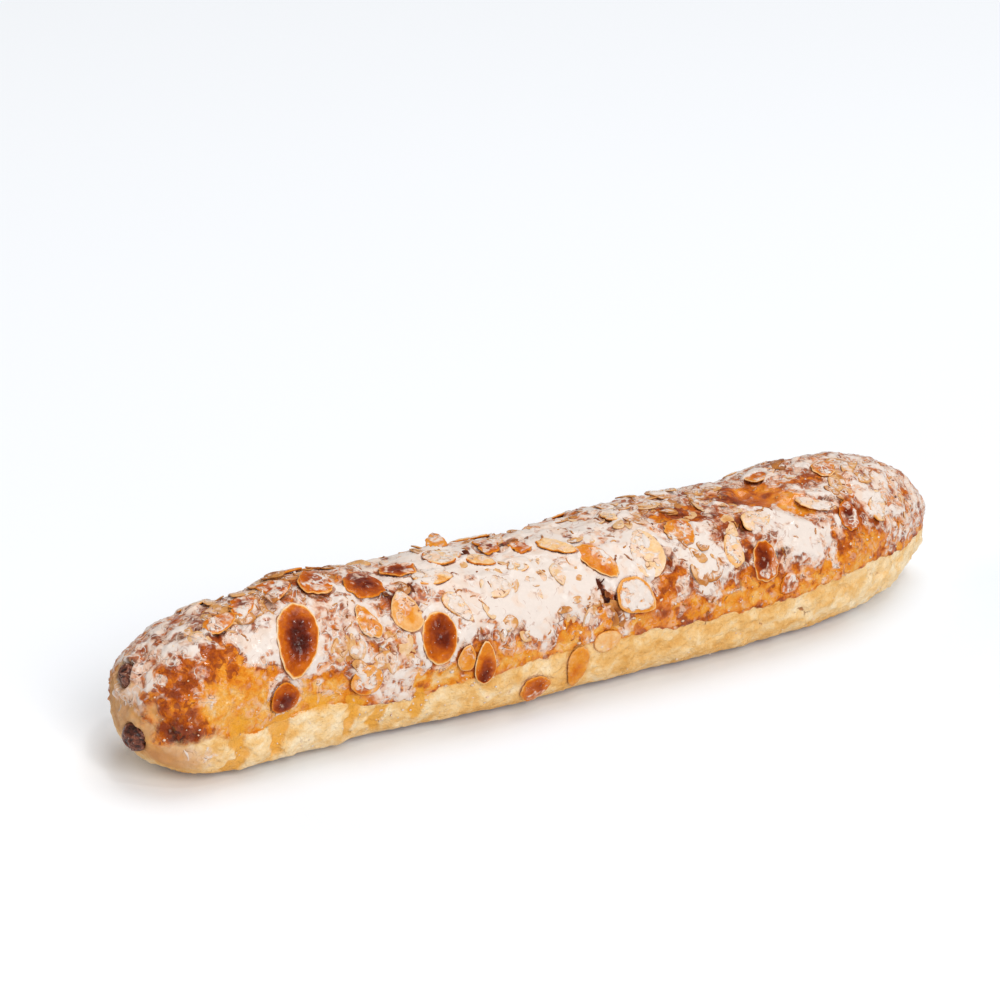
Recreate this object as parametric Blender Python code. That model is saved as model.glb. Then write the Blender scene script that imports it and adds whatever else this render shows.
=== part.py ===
"""Almond pastry log: one long loaf of dough with a flat base and blunt, rounded ends.

Flaked almonds lie all over its top and shoulders, and two raisins sit in its near end.
Units are metres, +Z is up. The origin is on the base, under the middle of the length. +X runs along
the log to its fuller end. Places on the crust are a station, in millimetres along X, and an angle,
in degrees: 0 is level on the front (-Y) side, 90 is the top and 180 is level on the back.
"""

import math

import bmesh
import bpy
from mathutils import Matrix, Vector, noise

MM = 0.001
NAME = "almond_pastry_log"

# The loaf's own form.
HALF_LENGTH = 150.0  # mm, from the middle to each end
# Station, half width, height and sideways shift, in mm. The crust runs smoothly through these sections.
SECTIONS = (
    (-150.0, 26.0, 48.0, -1.5),
    (-120.0, 22.5, 45.0, -0.5),
    (-90.0, 22.5, 48.5, -0.5),
    (-60.0, 24.0, 46.0, -1.0),
    (-30.0, 27.0, 45.0, -1.0),
    (0.0, 26.5, 44.5, -1.0),
    (30.0, 29.0, 46.0, -1.0),
    (60.0, 28.0, 45.0, -1.5),
    (90.0, 28.0, 45.5, -0.5),
    (120.0, 24.5, 46.5, 1.5),
    (150.0, 17.5, 42.5, 3.5),
)
NEAR_END_ROUNDING = 38.0  # mm of length over which the near end closes
FAR_END_ROUNDING = 55.0
END_FULLNESS = 2.3  # exponent of the end curve: 2 is an ellipse, more is blunter
LEAST_OPENING = 0.001  # share to which the tips close, so that no ring is a single point
END_LIFT = 0.9  # exponent by which the ends' level follows their opening
WIDEST_LEVEL = 0.46  # share of the height at which the section is widest
NOSE_LEVEL = 0.42  # share of the height at which the ends close
TOP_SQUARENESS = 2.2  # exponent of the section above its widest level
FOOT_SQUARENESS = 3.0  # and below it, where the dough slumps on the tray
FOOT_OVERSHOOT = 1.06  # the section is drawn this much too deep, then flattened on the tray

# Station, angle, reach along, reach round in degrees, and height: the swellings and dents of the dough.
SWELLINGS = (
    (-140, 95, 9, 50, -1.9),
    (-148, 150, 5, 60, 1.0),
    (-141, -12, 9, 18, 1.2),
    (-122, -38, 14, 14, 1.8),
    (-112, 95, 10, 26, 1.3),
    (-92, -35, 16, 14, 1.2),
    (-90, 100, 9, 24, 1.2),
    (-72, -32, 6, 16, -1.6),
    (-65, 92, 7, 20, -0.8),
    (-45, 108, 9, 26, 1.8),
    (-38, 20, 12, 22, 0.8),
    (-14, -30, 16, 14, 1.0),
    (8, 62, 12, 26, 0.8),
    (22, -26, 10, 18, -0.9),
    (38, 96, 12, 28, 0.6),
    (57, 40, 11, 22, 1.0),
    (76, 82, 9, 26, -1.6),
    (93, 100, 11, 26, 1.6),
    (104, 18, 12, 22, 0.9),
    (122, 92, 10, 30, 1.0),
    (-60, 160, 16, 24, 1.2),
    (-15, 185, 20, 18, -1.1),
    (28, 150, 14, 24, 1.2),
    (70, 190, 18, 18, 1.0),
)
UNEVENNESS = 0.7  # mm, the small waviness of hand-shaped dough
UNEVENNESS_SPACING = 19.0  # mm between its crests
GIRTH_RADIUS = 25.0  # mm, of the round on which the waviness is laid
FOOT_FREE_ANGLE = -55.0  # below this angle the tray keeps the crust even
FOOT_CALM_POWER = 4  # how late the swellings fade on the way down to it
NORMAL_STEP = 0.5  # mm along, to either side of a place, over which the crust's slope is taken
NORMAL_TURN = 1.0  # degrees round, likewise

RINGS = 56
RING_POINTS = 36
RING_CROWDING = 0.25  # how much closer the rings lie near the tips
TINY = 1e-6

# Raisins: name, centre in mm, half sizes in mm, and turn about the log's Y axis in degrees.
RAISINS = (
    ("raisin_nose", (-147.9, -8.3, 16.2), (4.0, 4.4, 4.2), 25.0),
    ("raisin_shoulder", (-146.2, -1.7, 32.0), (3.4, 4.2, 4.2), -30.0),
)
RAISIN_WRINKLE = 0.09  # share of its size
RAISIN_WRINKLES = 2.3  # over its half size
RAISIN_SEGMENTS = 14
RAISIN_RINGS = 8
SOCKET_CLEARANCE = 0.35  # mm between a raisin and the dough it sits in

# Flaked almonds.
SLICE_THICKNESS = 1.2  # mm
SLICE_CLEARANCE = 0.45  # mm of icing between crust and almond
SLICE_POINT = 0.30  # how much narrower the pointed end is than the round one
SLICE_SEGMENTS = 12
SLICE_RIM_CROWDING = 0.75  # exponent that draws a slice's points out towards its rim
SLICE_EVENNESS = 0.35  # exponent that keeps it nearly as thick at its rim
LONG_SLICE = 11.5  # mm; longer slices get more rings, so that they bend round the crust
LONG_SLICE_RINGS = 6
SHORT_SLICE_RINGS = 4
# Tone, station, angle, length, width, spin in degrees from +X towards the top, and lift of the point in mm.
SLICES = (
    ("dark", -99.5, 47, 22.5, 13.0, 252, 0.0),
    ("dark", -107, 10, 9.5, 8.5, 20, 0.0),
    ("amber", -119.5, 76, 11.0, 6.5, 8, 0.5),
    ("amber", -98, 90, 10.5, 8.5, 10, 0.6),
    ("amber", -86, 86, 13.0, 9.5, 90, 0.3),
    ("dark", -110, 84, 10.0, 6.5, 25, 0.8),
    ("amber", -90, 112, 11.0, 8.0, -10, 0.8),
    ("dark", -71.5, 79, 14.5, 12.0, 75, 0.4),
    ("amber", -76.5, 48, 10.5, 6.5, 110, 0.3),
    ("dark", -57, 88, 11.5, 8.0, -20, 0.8),
    ("pale", -49, 71, 12.5, 7.0, -12, 0.3),
    ("amber", -63, 50, 13.0, 9.5, 88, 0.5),
    ("dark", -54.5, 27, 16.0, 11.5, 264, 0.0),
    ("pale", -80, 7, 11.0, 9.0, 20, 0.0),
    ("amber", -46.5, 11, 8.0, 5.5, 78, 0.2),
    ("amber", -40.5, 5, 13.5, 6.5, 84, 0.4),
    ("amber", -7, -14, 14.0, 7.5, 264, 0.0),
    ("dark", -22, -22, 10.5, 8.5, 12, 0.0),
    ("amber", 6.5, 53, 15.5, 8.0, -58, 0.5),
    ("pale", -36.5, 114, 8.5, 6.0, 62, 3.2),
    ("pale", -40.5, 90, 12.5, 9.0, -4, 0.8),
    ("pale", -30.5, 77, 10.0, 5.0, -35, 1.0),
    ("pale", -31, 52, 10.5, 8.0, -25, 0.0),
    ("pale", -19, 66, 9.0, 6.0, 10, 0.2),
    ("dark", -13, 85, 8.0, 6.5, 15, 0.3),
    ("pale", -3, 74, 13.0, 6.0, -42, 0.8),
    ("dark", -23, 95, 9.5, 7.5, 20, 0.8),
    ("pale", -46, 45, 12.0, 5.5, -58, 0.2),
    ("pale", 14.5, 24, 14.5, 10.0, -35, 0.6),
    ("amber", 3.5, 0, 9.5, 7.0, 12, 0.0),
    ("pale", 23.5, 50, 17.0, 11.0, 76, 0.8),
    ("dark", 38.5, 59, 11.0, 9.5, 30, 0.4),
    ("dark", 63.5, 27, 13.0, 9.5, 84, 0.2),
    ("pale", 53, 38, 11.5, 6.5, 78, 0.3),
    ("pale", 71.5, 8, 7.5, 6.5, 20, 0.0),
    ("pale", 66.5, 54, 12.0, 7.0, 8, 0.5),
    ("pale", 92, 56, 15.0, 8.0, -30, 0.8),
    ("dark", 100.5, 40, 10.0, 7.5, 80, 0.4),
    ("amber", 104, 84, 9.5, 8.0, 15, 0.6),
    ("pale", 114, 42, 10.5, 6.5, 60, 0.3),
    ("amber", 2, 111, 12.0, 7.0, 5, 0.8),
    ("pale", 24, 94, 12.0, 6.5, 25, 0.8),
    ("amber", 84, 104, 11.0, 8.0, -15, 0.6),
    ("pale", -118, 120, 13.0, 8.0, 30, 0.4),
    ("dark", -74, 138, 15.0, 10.0, 75, 0.3),
    ("pale", -20, 130, 14.0, 8.5, -20, 0.5),
    ("amber", 16, 142, 15.0, 9.0, 65, 0.4),
    ("pale", 50, 122, 13.0, 8.0, 15, 0.6),
    ("dark", 58, 158, 12.0, 9.0, 80, 0.2),
    ("pale", 96, 136, 14.0, 8.5, -40, 0.5),
    ("amber", -42, 160, 12.0, 8.0, 40, 0.2),
)

# Finish of each kind of piece: colour, roughness.
FINISHES = {
    "crust": ((0.80, 0.48, 0.19), 0.55),
    "dark": ((0.42, 0.15, 0.04), 0.35),
    "amber": ((0.78, 0.42, 0.10), 0.35),
    "pale": ((0.88, 0.74, 0.55), 0.50),
    "raisin": ((0.12, 0.05, 0.03), 0.45),
}


def clear_scene():
    """Removes whatever the scene held."""
    for obj in list(bpy.data.objects):
        bpy.data.objects.remove(obj)


def new_collection(name):
    collection = bpy.data.collections.new(name)
    bpy.context.scene.collection.children.link(collection)
    return collection


def make_finish(kind):
    """A plain material of the colour and roughness that FINISHES gives."""
    colour, roughness = FINISHES[kind]
    material = bpy.data.materials.new(kind)
    material.use_nodes = True
    shader = material.node_tree.nodes["Principled BSDF"]
    shader.inputs["Base Color"].default_value = (*colour, 1.0)
    shader.inputs["Roughness"].default_value = roughness
    shader.inputs["Metallic"].default_value = 0.0
    return material


def smooth_through(column, station):
    """One column of SECTIONS at a station, on a Catmull-Rom curve through its values."""
    spacing = SECTIONS[1][0] - SECTIONS[0][0]
    place = (station - SECTIONS[0][0]) / spacing
    first = min(max(int(place), 0), len(SECTIONS) - 2)
    t = place - first
    p0, p1, p2, p3 = (
        SECTIONS[min(max(first + step, 0), len(SECTIONS) - 1)][column] for step in (-1, 0, 1, 2)
    )
    return 0.5 * (
        2 * p1
        + (p2 - p0) * t
        + (2 * p0 - 5 * p1 + 4 * p2 - p3) * t**2
        + (3 * p1 - p0 - 3 * p2 + p3) * t**3
    )


def end_share(station):
    """How far the section has opened at a station: nearly 0 at the tips, 1 away from the ends."""
    shares = [1.0]
    for to_tip, rounding in (
        (HALF_LENGTH + station, NEAR_END_ROUNDING),
        (HALF_LENGTH - station, FAR_END_ROUNDING),
    ):
        left = 1 - min(max(to_tip / rounding, 0.0), 1.0)
        shares.append((1 - left**END_FULLNESS) ** (1 / END_FULLNESS))
    return max(min(shares), LEAST_OPENING)


def swelling_at(station, angle):
    """Height of the dough's swellings, dents and waviness above the plain section, in mm."""
    height = 0.0
    for centre, centre_angle, reach, reach_angle, peak in SWELLINGS:
        turn = (angle - centre_angle + 180) % 360 - 180
        height += peak * math.exp(-(((station - centre) / reach) ** 2) - (turn / reach_angle) ** 2)
    round_way = math.radians(angle)
    girth = GIRTH_RADIUS / UNEVENNESS_SPACING
    place = Vector((station / UNEVENNESS_SPACING, girth * math.cos(round_way), girth * math.sin(round_way)))
    return height + UNEVENNESS * noise.noise(place)


def crust_point(station, angle, above=0.0):
    """The point of the crust at a station and angle, in mm, moved out from the section's middle."""
    half_width, height, shift = (smooth_through(column, station) for column in (1, 2, 3))
    open_share = end_share(station)
    round_way = math.radians(angle)
    across, up = math.cos(round_way), math.sin(round_way)
    middle = WIDEST_LEVEL * height
    if up >= 0:
        reach_up, squareness = height - middle, TOP_SQUARENESS
    else:
        reach_up, squareness = middle * FOOT_OVERSHOOT, FOOT_SQUARENESS
    radius = (
        (abs(across) / half_width) ** squareness + (abs(up) / reach_up) ** squareness
    ) ** (-1 / squareness)
    if FOOT_FREE_ANGLE < (angle + 180) % 360 - 180 < 180 - FOOT_FREE_ANGLE:
        share_down = max(-up, 0.0) / math.sin(math.radians(-FOOT_FREE_ANGLE))
        radius += swelling_at(station, angle) * max(0.0, 1 - share_down**FOOT_CALM_POWER)
    radius += above
    nose = NOSE_LEVEL * height
    level = nose + (middle + radius * up - nose) * open_share**END_LIFT
    return Vector((station, shift - radius * across * open_share, max(level, 0.0)))


def crust_normal(station, angle):
    """The outward direction of the crust at a station and angle."""
    along = crust_point(station + NORMAL_STEP, angle) - crust_point(station - NORMAL_STEP, angle)
    around = crust_point(station, angle + NORMAL_TURN) - crust_point(station, angle - NORMAL_TURN)
    return around.cross(along).normalized() * -1


def finish_object(mesh_source, name, kind, finishes, collection):
    """Turns a closed bmesh into a named object with its own finish, its faces pointing outwards."""
    bmesh.ops.triangulate(mesh_source, faces=mesh_source.faces)
    if mesh_source.calc_volume(signed=True) < 0:
        bmesh.ops.reverse_faces(mesh_source, faces=mesh_source.faces)
    mesh = bpy.data.meshes.new(name)
    mesh_source.to_mesh(mesh)
    mesh_source.free()
    mesh.materials.append(finishes[kind])
    obj = bpy.data.objects.new(name, mesh)
    collection.objects.link(obj)
    mesh.shade_smooth()
    return obj


def build_loaf(finishes, collection):
    """The loaf: a sphere's rings, laid along X and drawn out to the crust."""
    shape = bmesh.new()
    bmesh.ops.create_uvsphere(shape, u_segments=RING_POINTS, v_segments=RINGS, radius=1.0)
    for vert in shape.verts:
        share = 2 * math.acos(max(-1.0, min(1.0, vert.co.z))) / math.pi - 1
        station = HALF_LENGTH * ((1 + RING_CROWDING) * share - RING_CROWDING * share**5)
        angle = math.degrees(math.atan2(vert.co.y, -vert.co.x))
        vert.co = crust_point(station, angle) * MM
    return finish_object(shape, "loaf", "crust", finishes, collection)


def raisin_shape(half_sizes, extra=0.0):
    """A wrinkled raisin about the origin, in metres, with every side moved out by extra mm."""
    shape = bmesh.new()
    bmesh.ops.create_uvsphere(shape, u_segments=RAISIN_SEGMENTS, v_segments=RAISIN_RINGS, radius=1.0)
    for vert in shape.verts:
        wrinkle = 1 + RAISIN_WRINKLE * noise.noise(vert.co * RAISIN_WRINKLES)
        vert.co = Vector(c * (s * wrinkle + extra) * MM for c, s in zip(vert.co, half_sizes))
    return shape


def build_raisins(loaf, finishes, collection, cutters):
    """Each raisin, half sunk in a socket that is cut into the loaf."""
    for name, centre, half_sizes, turn in RAISINS:
        place = Matrix.Translation(Vector(centre) * MM) @ Matrix.Rotation(math.radians(turn), 4, "Y")
        raisin = finish_object(raisin_shape(half_sizes), name, "raisin", finishes, collection)
        raisin.matrix_world = place
        socket = finish_object(
            raisin_shape(half_sizes, SOCKET_CLEARANCE), name + "_socket", "raisin", finishes, cutters
        )
        socket.matrix_world = place
        socket.hide_render = True
        socket.display_type = "WIRE"
        cut = loaf.modifiers.new(name + "_socket", "BOOLEAN")
        cut.operation = "DIFFERENCE"
        cut.object = socket


def slice_vert(flat, long_way, tall, details):
    """Lays one point of a flat slice on the crust: along its length, across it, and up through it."""
    station, angle, length, width, spin, lift = details
    narrowing = 1 - SLICE_POINT * long_way
    along = long_way * length / 2
    across = flat * narrowing * width / 2
    turn = math.radians(spin)
    radius = (crust_point(station, angle).yz - crust_middle(station)).length
    there = station + along * math.cos(turn) - across * math.sin(turn)
    there_angle = angle + math.degrees((along * math.sin(turn) + across * math.cos(turn)) / radius)
    above = SLICE_CLEARANCE + (1 + tall) * SLICE_THICKNESS / 2 + lift * ((1 + long_way) / 2) ** 2
    return (crust_point(there, there_angle) + crust_normal(there, there_angle) * above) * MM


def crust_middle(station):
    """The middle of the section at a station, across and up."""
    height, shift = smooth_through(2, station), smooth_through(3, station)
    return Vector((shift, WIDEST_LEVEL * height))


def build_slices(finishes, collection):
    """The flaked almonds: flattened spheres with one narrower end, bent to the crust they lie on."""
    counts = {}
    for tone, *details in SLICES:
        counts[tone] = counts.get(tone, 0) + 1
        rings = LONG_SLICE_RINGS if details[2] > LONG_SLICE else SHORT_SLICE_RINGS
        shape = bmesh.new()
        bmesh.ops.create_uvsphere(shape, u_segments=SLICE_SEGMENTS, v_segments=rings, radius=1.0)
        for vert in shape.verts:
            out = max(math.hypot(vert.co.x, vert.co.y), TINY)
            spread = out ** (SLICE_RIM_CROWDING - 1)
            up = vert.co.z if abs(vert.co.z) > TINY else 0.0
            tall = math.copysign(abs(up) ** SLICE_EVENNESS, up)
            vert.co = slice_vert(vert.co.y * spread, vert.co.x * spread, tall, details)
        finish_object(shape, f"almond_{tone}_{counts[tone]:02d}", tone, finishes, collection)


def main():
    clear_scene()
    pieces = new_collection(NAME)
    cutters = new_collection("sockets")
    finishes = {kind: make_finish(kind) for kind in FINISHES}
    loaf = build_loaf(finishes, pieces)
    build_raisins(loaf, finishes, pieces, cutters)
    build_slices(finishes, pieces)


main()
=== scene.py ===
"""An almond pastry log: a baked loaf, cracked white icing, flaked almonds and two raisins.

Lengths are in millimetres until a mesh is written, which is in metres. A place on the loaf is a
station, in millimetres along +X, and an angle, in degrees: 0 is level on the front side, 90 is the
top and 180 is level on the back.
"""

from __future__ import annotations

import logging
import math
from collections.abc import Iterable, Mapping
from dataclasses import dataclass, field
from enum import Enum
from typing import Any

import bpy
import numpy as np
from mathutils import Matrix, Vector
from mathutils.bvhtree import BVHTree

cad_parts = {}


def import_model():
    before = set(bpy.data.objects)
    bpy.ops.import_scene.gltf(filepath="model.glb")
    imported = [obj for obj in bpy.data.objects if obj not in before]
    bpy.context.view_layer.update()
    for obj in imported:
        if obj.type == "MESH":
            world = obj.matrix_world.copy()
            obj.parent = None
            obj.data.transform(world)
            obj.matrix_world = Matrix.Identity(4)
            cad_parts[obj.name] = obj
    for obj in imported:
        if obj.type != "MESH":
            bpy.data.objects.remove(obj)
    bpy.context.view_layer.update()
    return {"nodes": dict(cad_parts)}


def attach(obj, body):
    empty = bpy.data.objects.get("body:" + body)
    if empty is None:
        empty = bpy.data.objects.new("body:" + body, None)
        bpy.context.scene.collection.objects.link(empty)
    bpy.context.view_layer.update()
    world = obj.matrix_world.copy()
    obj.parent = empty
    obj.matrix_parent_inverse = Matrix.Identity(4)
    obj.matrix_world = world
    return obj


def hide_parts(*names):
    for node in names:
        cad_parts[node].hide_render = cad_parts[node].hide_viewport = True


LOG = logging.getLogger("pastry")
MM = 0.001
MEAN_RADIUS = 24.0  # mm from the loaf's middle to its crust, to turn degrees round it into mm
NARROWING = 0.26  # how much narrower an almond's pointed end is than its round one
Colour = tuple[float, float, float]
Stops = tuple[tuple[float, Colour], ...]
Pair = tuple[float, float]
Faces = list[tuple[int, ...]]
Array = np.ndarray
Chance = np.random.Generator
Piece = bpy.types.Object


# ---------------------------------------------------------------- sums over many points

# The noise below is worked out from the corners of a lattice, each with a slope of its own.
SLOPES = 256  # how many slopes there are; a power of two
CORNER_PRIMES = (73856093, 19349663, 83492791)
CORNER_MIX = 1274126177
SEED_SHIFT = 31.7  # how far apart two seeds read the lattice
NOISE_GAIN = 1.5  # brings the noise to about -1 to 1


def ease(low: float, high: float, value: Array) -> Array:
    """Rises smoothly from 0 at low to 1 at high.

    Args:
        low: Value where the rise starts.
        high: Value where it ends; below low for a fall.
        value: Numbers to ease.

    Returns:
        One number from 0 to 1 for each value.
    """
    share = np.clip((value - low) / (high - low), 0.0, 1.0)
    return share * share * (3 - 2 * share)


@dataclass(frozen=True)
class Grain:
    """Repeatable unevenness in space, about -1 to 1."""

    spacing: float
    seed: int
    octaves: int = 1

    def at(self, places: Array) -> Array:
        """Reads the unevenness.

        Args:
            places: Points in mm, one a row.

        Returns:
            One value for each point.
        """
        total = np.zeros(len(places))
        for octave in range(self.octaves):
            shifted = places * (2**octave / self.spacing) + SEED_SHIFT * (self.seed + octave)
            total += self._lattice(shifted) / 2**octave
        return total * NOISE_GAIN

    def _lattice(self, places: Array) -> Array:
        """One octave of gradient noise at unit spacing.

        Args:
            places: Points, one a row.

        Returns:
            One value for each point.
        """
        slopes = np.random.default_rng(self.seed).normal(size=(SLOPES, 3))
        slopes /= np.linalg.norm(slopes, axis=1)[:, None]
        corner = np.floor(places).astype(np.int64)
        inside = places - corner
        blend = inside**3 * (inside * (inside * 6 - 15) + 10)
        total = np.zeros(len(places))
        for step in np.ndindex(2, 2, 2):
            key = (corner + step) * CORNER_PRIMES
            mixed = key[:, 0] ^ key[:, 1] ^ key[:, 2]
            mixed = (mixed ^ (mixed >> 13)) * CORNER_MIX
            slope = slopes[(mixed >> 7) & (SLOPES - 1)]
            share = np.prod(np.where(np.array(step) == 1, blend, 1 - blend), axis=1)
            total += share * ((inside - step) * slope).sum(axis=1)
        return total


def soften(values: Array, rows: float, columns: float) -> Array:
    """Blurs a grid that is closed round its columns and open along its rows.

    Args:
        values: Grid of rows by columns.
        rows: Blur along the rows, in rows.
        columns: Blur round the columns, in columns.

    Returns:
        The blurred grid.
    """
    for axis, spread in ((0, rows), (1, columns)):
        reach = int(3 * spread) + 1
        weights = np.exp(-0.5 * (np.arange(-reach, reach + 1) / spread) ** 2)
        weights /= weights.sum()
        width = ((reach, reach), (0, 0)) if axis == 0 else ((0, 0), (reach, reach))
        padded = np.pad(values, width, mode="edge" if axis == 0 else "wrap")
        size = values.shape[axis]
        values = sum(
            weight * np.take(padded, np.arange(size) + step, axis=axis)
            for step, weight in enumerate(weights)
        )
    return values


# ---------------------------------------------------------------- shader recipes


class Wire:
    """A value, colour or vector on its way through a finish; sums on it add Math nodes."""

    def __init__(self, recipe: Recipe, socket: Any) -> None:
        """Wraps an output socket of the recipe."""
        self.recipe = recipe
        self.socket = socket

    def _math(self, operation: str, *feeds: Wire | float) -> Wire:
        """Adds one Math node."""
        return self.recipe.add("Math", {"operation": operation}, dict(enumerate(feeds)))

    def __add__(self, other: Wire | float) -> Wire:
        """Sum."""
        return self._math("ADD", self, other)

    def __sub__(self, other: Wire | float) -> Wire:
        """Difference."""
        return self._math("SUBTRACT", self, other)

    def __rsub__(self, other: float) -> Wire:
        """Difference from a number."""
        return self._math("SUBTRACT", other, self)

    def __abs__(self) -> Wire:
        """Size without its sign."""
        return self._math("ABSOLUTE", self)

    def __mul__(self, other: Wire | float) -> Wire:
        """Product."""
        return self._math("MULTIPLY", self, other)

    __radd__ = __add__
    __rmul__ = __mul__

    def rise(self, low: float, high: float) -> Wire:
        """Rises smoothly from 0 at low to 1 at high.

        Args:
            low: Value where the rise starts.
            high: Value where it ends.

        Returns:
            The eased value.
        """
        flip = low > high
        ends = (high, low) if flip else (low, high)
        eased = self.recipe.add(
            "MapRange",
            {"interpolation_type": "SMOOTHSTEP"},
            {"Value": self, "From Min": ends[0], "From Max": ends[1]},
        )
        return 1.0 - eased if flip else eased


class Recipe:
    """The nodes of one material."""

    def __init__(self, name: str) -> None:
        """Starts a material with its Principled shader.

        Args:
            name: Name of the material.
        """
        self.material = bpy.data.materials.new(name)
        self.material.use_nodes = True
        self.tree = self.material.node_tree
        self.shader = self.tree.nodes["Principled BSDF"]
        place = self.add("TexCoord", output="Object")
        self.place = self.add("VectorMath", {"operation": "SCALE"}, {0: place, "Scale": 1 / MM})

    def add(
        self,
        kind: str,
        settings: Mapping[str, Any] | None = None,
        feeds: Mapping[str | int, Any] | None = None,
        output: str | int = 0,
    ) -> Wire:
        """Adds a node.

        Args:
            kind: Node type, without its ShaderNode prefix.
            settings: The node's own settings; "stops" are a ramp's positions and colours.
            feeds: Wires or values for its sockets, by name or number.
            output: The output that is wanted.

        Returns:
            That output.
        """
        node = self.tree.nodes.new(f"ShaderNode{kind}")
        for name, value in (settings or {}).items():
            if name == "stops":
                self._set_stops(node.color_ramp, value)
            else:
                setattr(node, name, value)
        for name, feed in (feeds or {}).items():
            self.plug(node.inputs[name], feed)
        return Wire(self, node.outputs[output])

    @staticmethod
    def _set_stops(ramp: Any, stops: Stops) -> None:
        """Gives a ramp its stops.

        Args:
            ramp: The colour ramp.
            stops: Position and colour of each stop, in order.
        """
        wanted = list(stops)
        while len(ramp.elements) < len(wanted):
            ramp.elements.new(0.5)
        for element, (position, colour) in zip(ramp.elements, wanted):
            element.position = position
            element.color = (*colour, 1.0)

    def plug(self, socket: Any, feed: Wire | float | Colour) -> None:
        """Feeds a socket from a wire, or sets it to a value.

        Args:
            socket: The input socket.
            feed: A wire, a number or a colour.
        """
        if isinstance(feed, Wire):
            self.tree.links.new(feed.socket, socket)
        elif isinstance(feed, tuple) and len(socket.default_value) == 4:
            socket.default_value = (*feed, 1.0)
        else:
            socket.default_value = feed

    def drawn(self, name: str) -> Wire:
        """A value that the mesh carries at each point."""
        return self.add("Attribute", {"attribute_name": name}, output="Fac")

    def noise(self, spacing: float, detail: float = 2.0, swirl: float = 0.0) -> Wire:
        """Cloudy noise, about 0 on average and mostly within 0.25 of it.

        Args:
            spacing: Size of its cells, in mm.
            detail: Number of finer layers.
            swirl: How strongly the cells are stirred.

        Returns:
            The noise.
        """
        feeds = {"Vector": self.place, "Scale": 1 / spacing, "Detail": detail, "Distortion": swirl}
        return self.add("TexNoise", feeds=feeds) - 0.5

    def cells(self, spacing: float) -> Wire:
        """Distance to the middle of the nearest of many scattered cells.

        Args:
            spacing: Size of the cells, in mm.

        Returns:
            The distance, in cells.
        """
        feeds = {"Vector": self.place, "Scale": 1 / spacing, "Detail": 2.0}
        stirred = self.add("TexNoise", feeds=feeds, output=1)
        shifts = {0: stirred, 1: Vector((1, 1, 1)) * spacing, 2: self.place}
        place = self.add("VectorMath", {"operation": "MULTIPLY_ADD"}, shifts)
        return self.add("TexVoronoi", feeds={"Vector": place, "Scale": 1 / spacing})

    def mix(self, first: Wire | Colour, second: Wire | Colour, share: Wire | float) -> Wire:
        """Mixes two colours.

        Args:
            first: Colour where share is 0.
            second: Colour where share is 1.
            share: How much of the second.

        Returns:
            The mixed colour.
        """
        feeds = {0: share, 6: first, 7: second}
        return self.add("Mix", {"data_type": "RGBA"}, feeds, output=2)

    def ramp(self, value: Wire, stops: Stops) -> Wire:
        """A colour for each value.

        Args:
            value: Position on the ramp.
            stops: Position and colour of each stop.

        Returns:
            The colour.
        """
        return self.add("ValToRGB", {"stops": stops}, {"Fac": value})

    def relief(self, height: Wire, depth: float, over: Wire | None = None) -> Wire:
        """Turns a height into a surface direction.

        Args:
            height: Height, 0 to 1.
            depth: Depth of one unit, in mm.
            over: Relief that this one adds to.

        Returns:
            The direction, for a Normal socket.
        """
        feeds: dict[str | int, Any] = {"Height": height, "Distance": depth * MM}
        if over is not None:
            feeds["Normal"] = over
        return self.add("Bump", feeds=feeds)

    def finish(self, **sockets: Any) -> bpy.types.Material:
        """Feeds the shader's sockets, named with _ for a space.

        Args:
            sockets: A wire or value for each.

        Returns:
            The finished material.
        """
        for name, feed in sockets.items():
            title = name.replace("_", " ").title().replace("Ior", "IOR")
            self.plug(self.shader.inputs[title], feed)
        return self.material


ICING = (0.754, 0.667, 0.606)
CREAM = (0.755, 0.590, 0.480)  # icing through which a little of the crust shows
THIN_ICING = (0.79, 0.55, 0.41)
PORE = (0.30, 0.080, 0.022)  # brown that shows in pores and cracks of the icing


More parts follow.
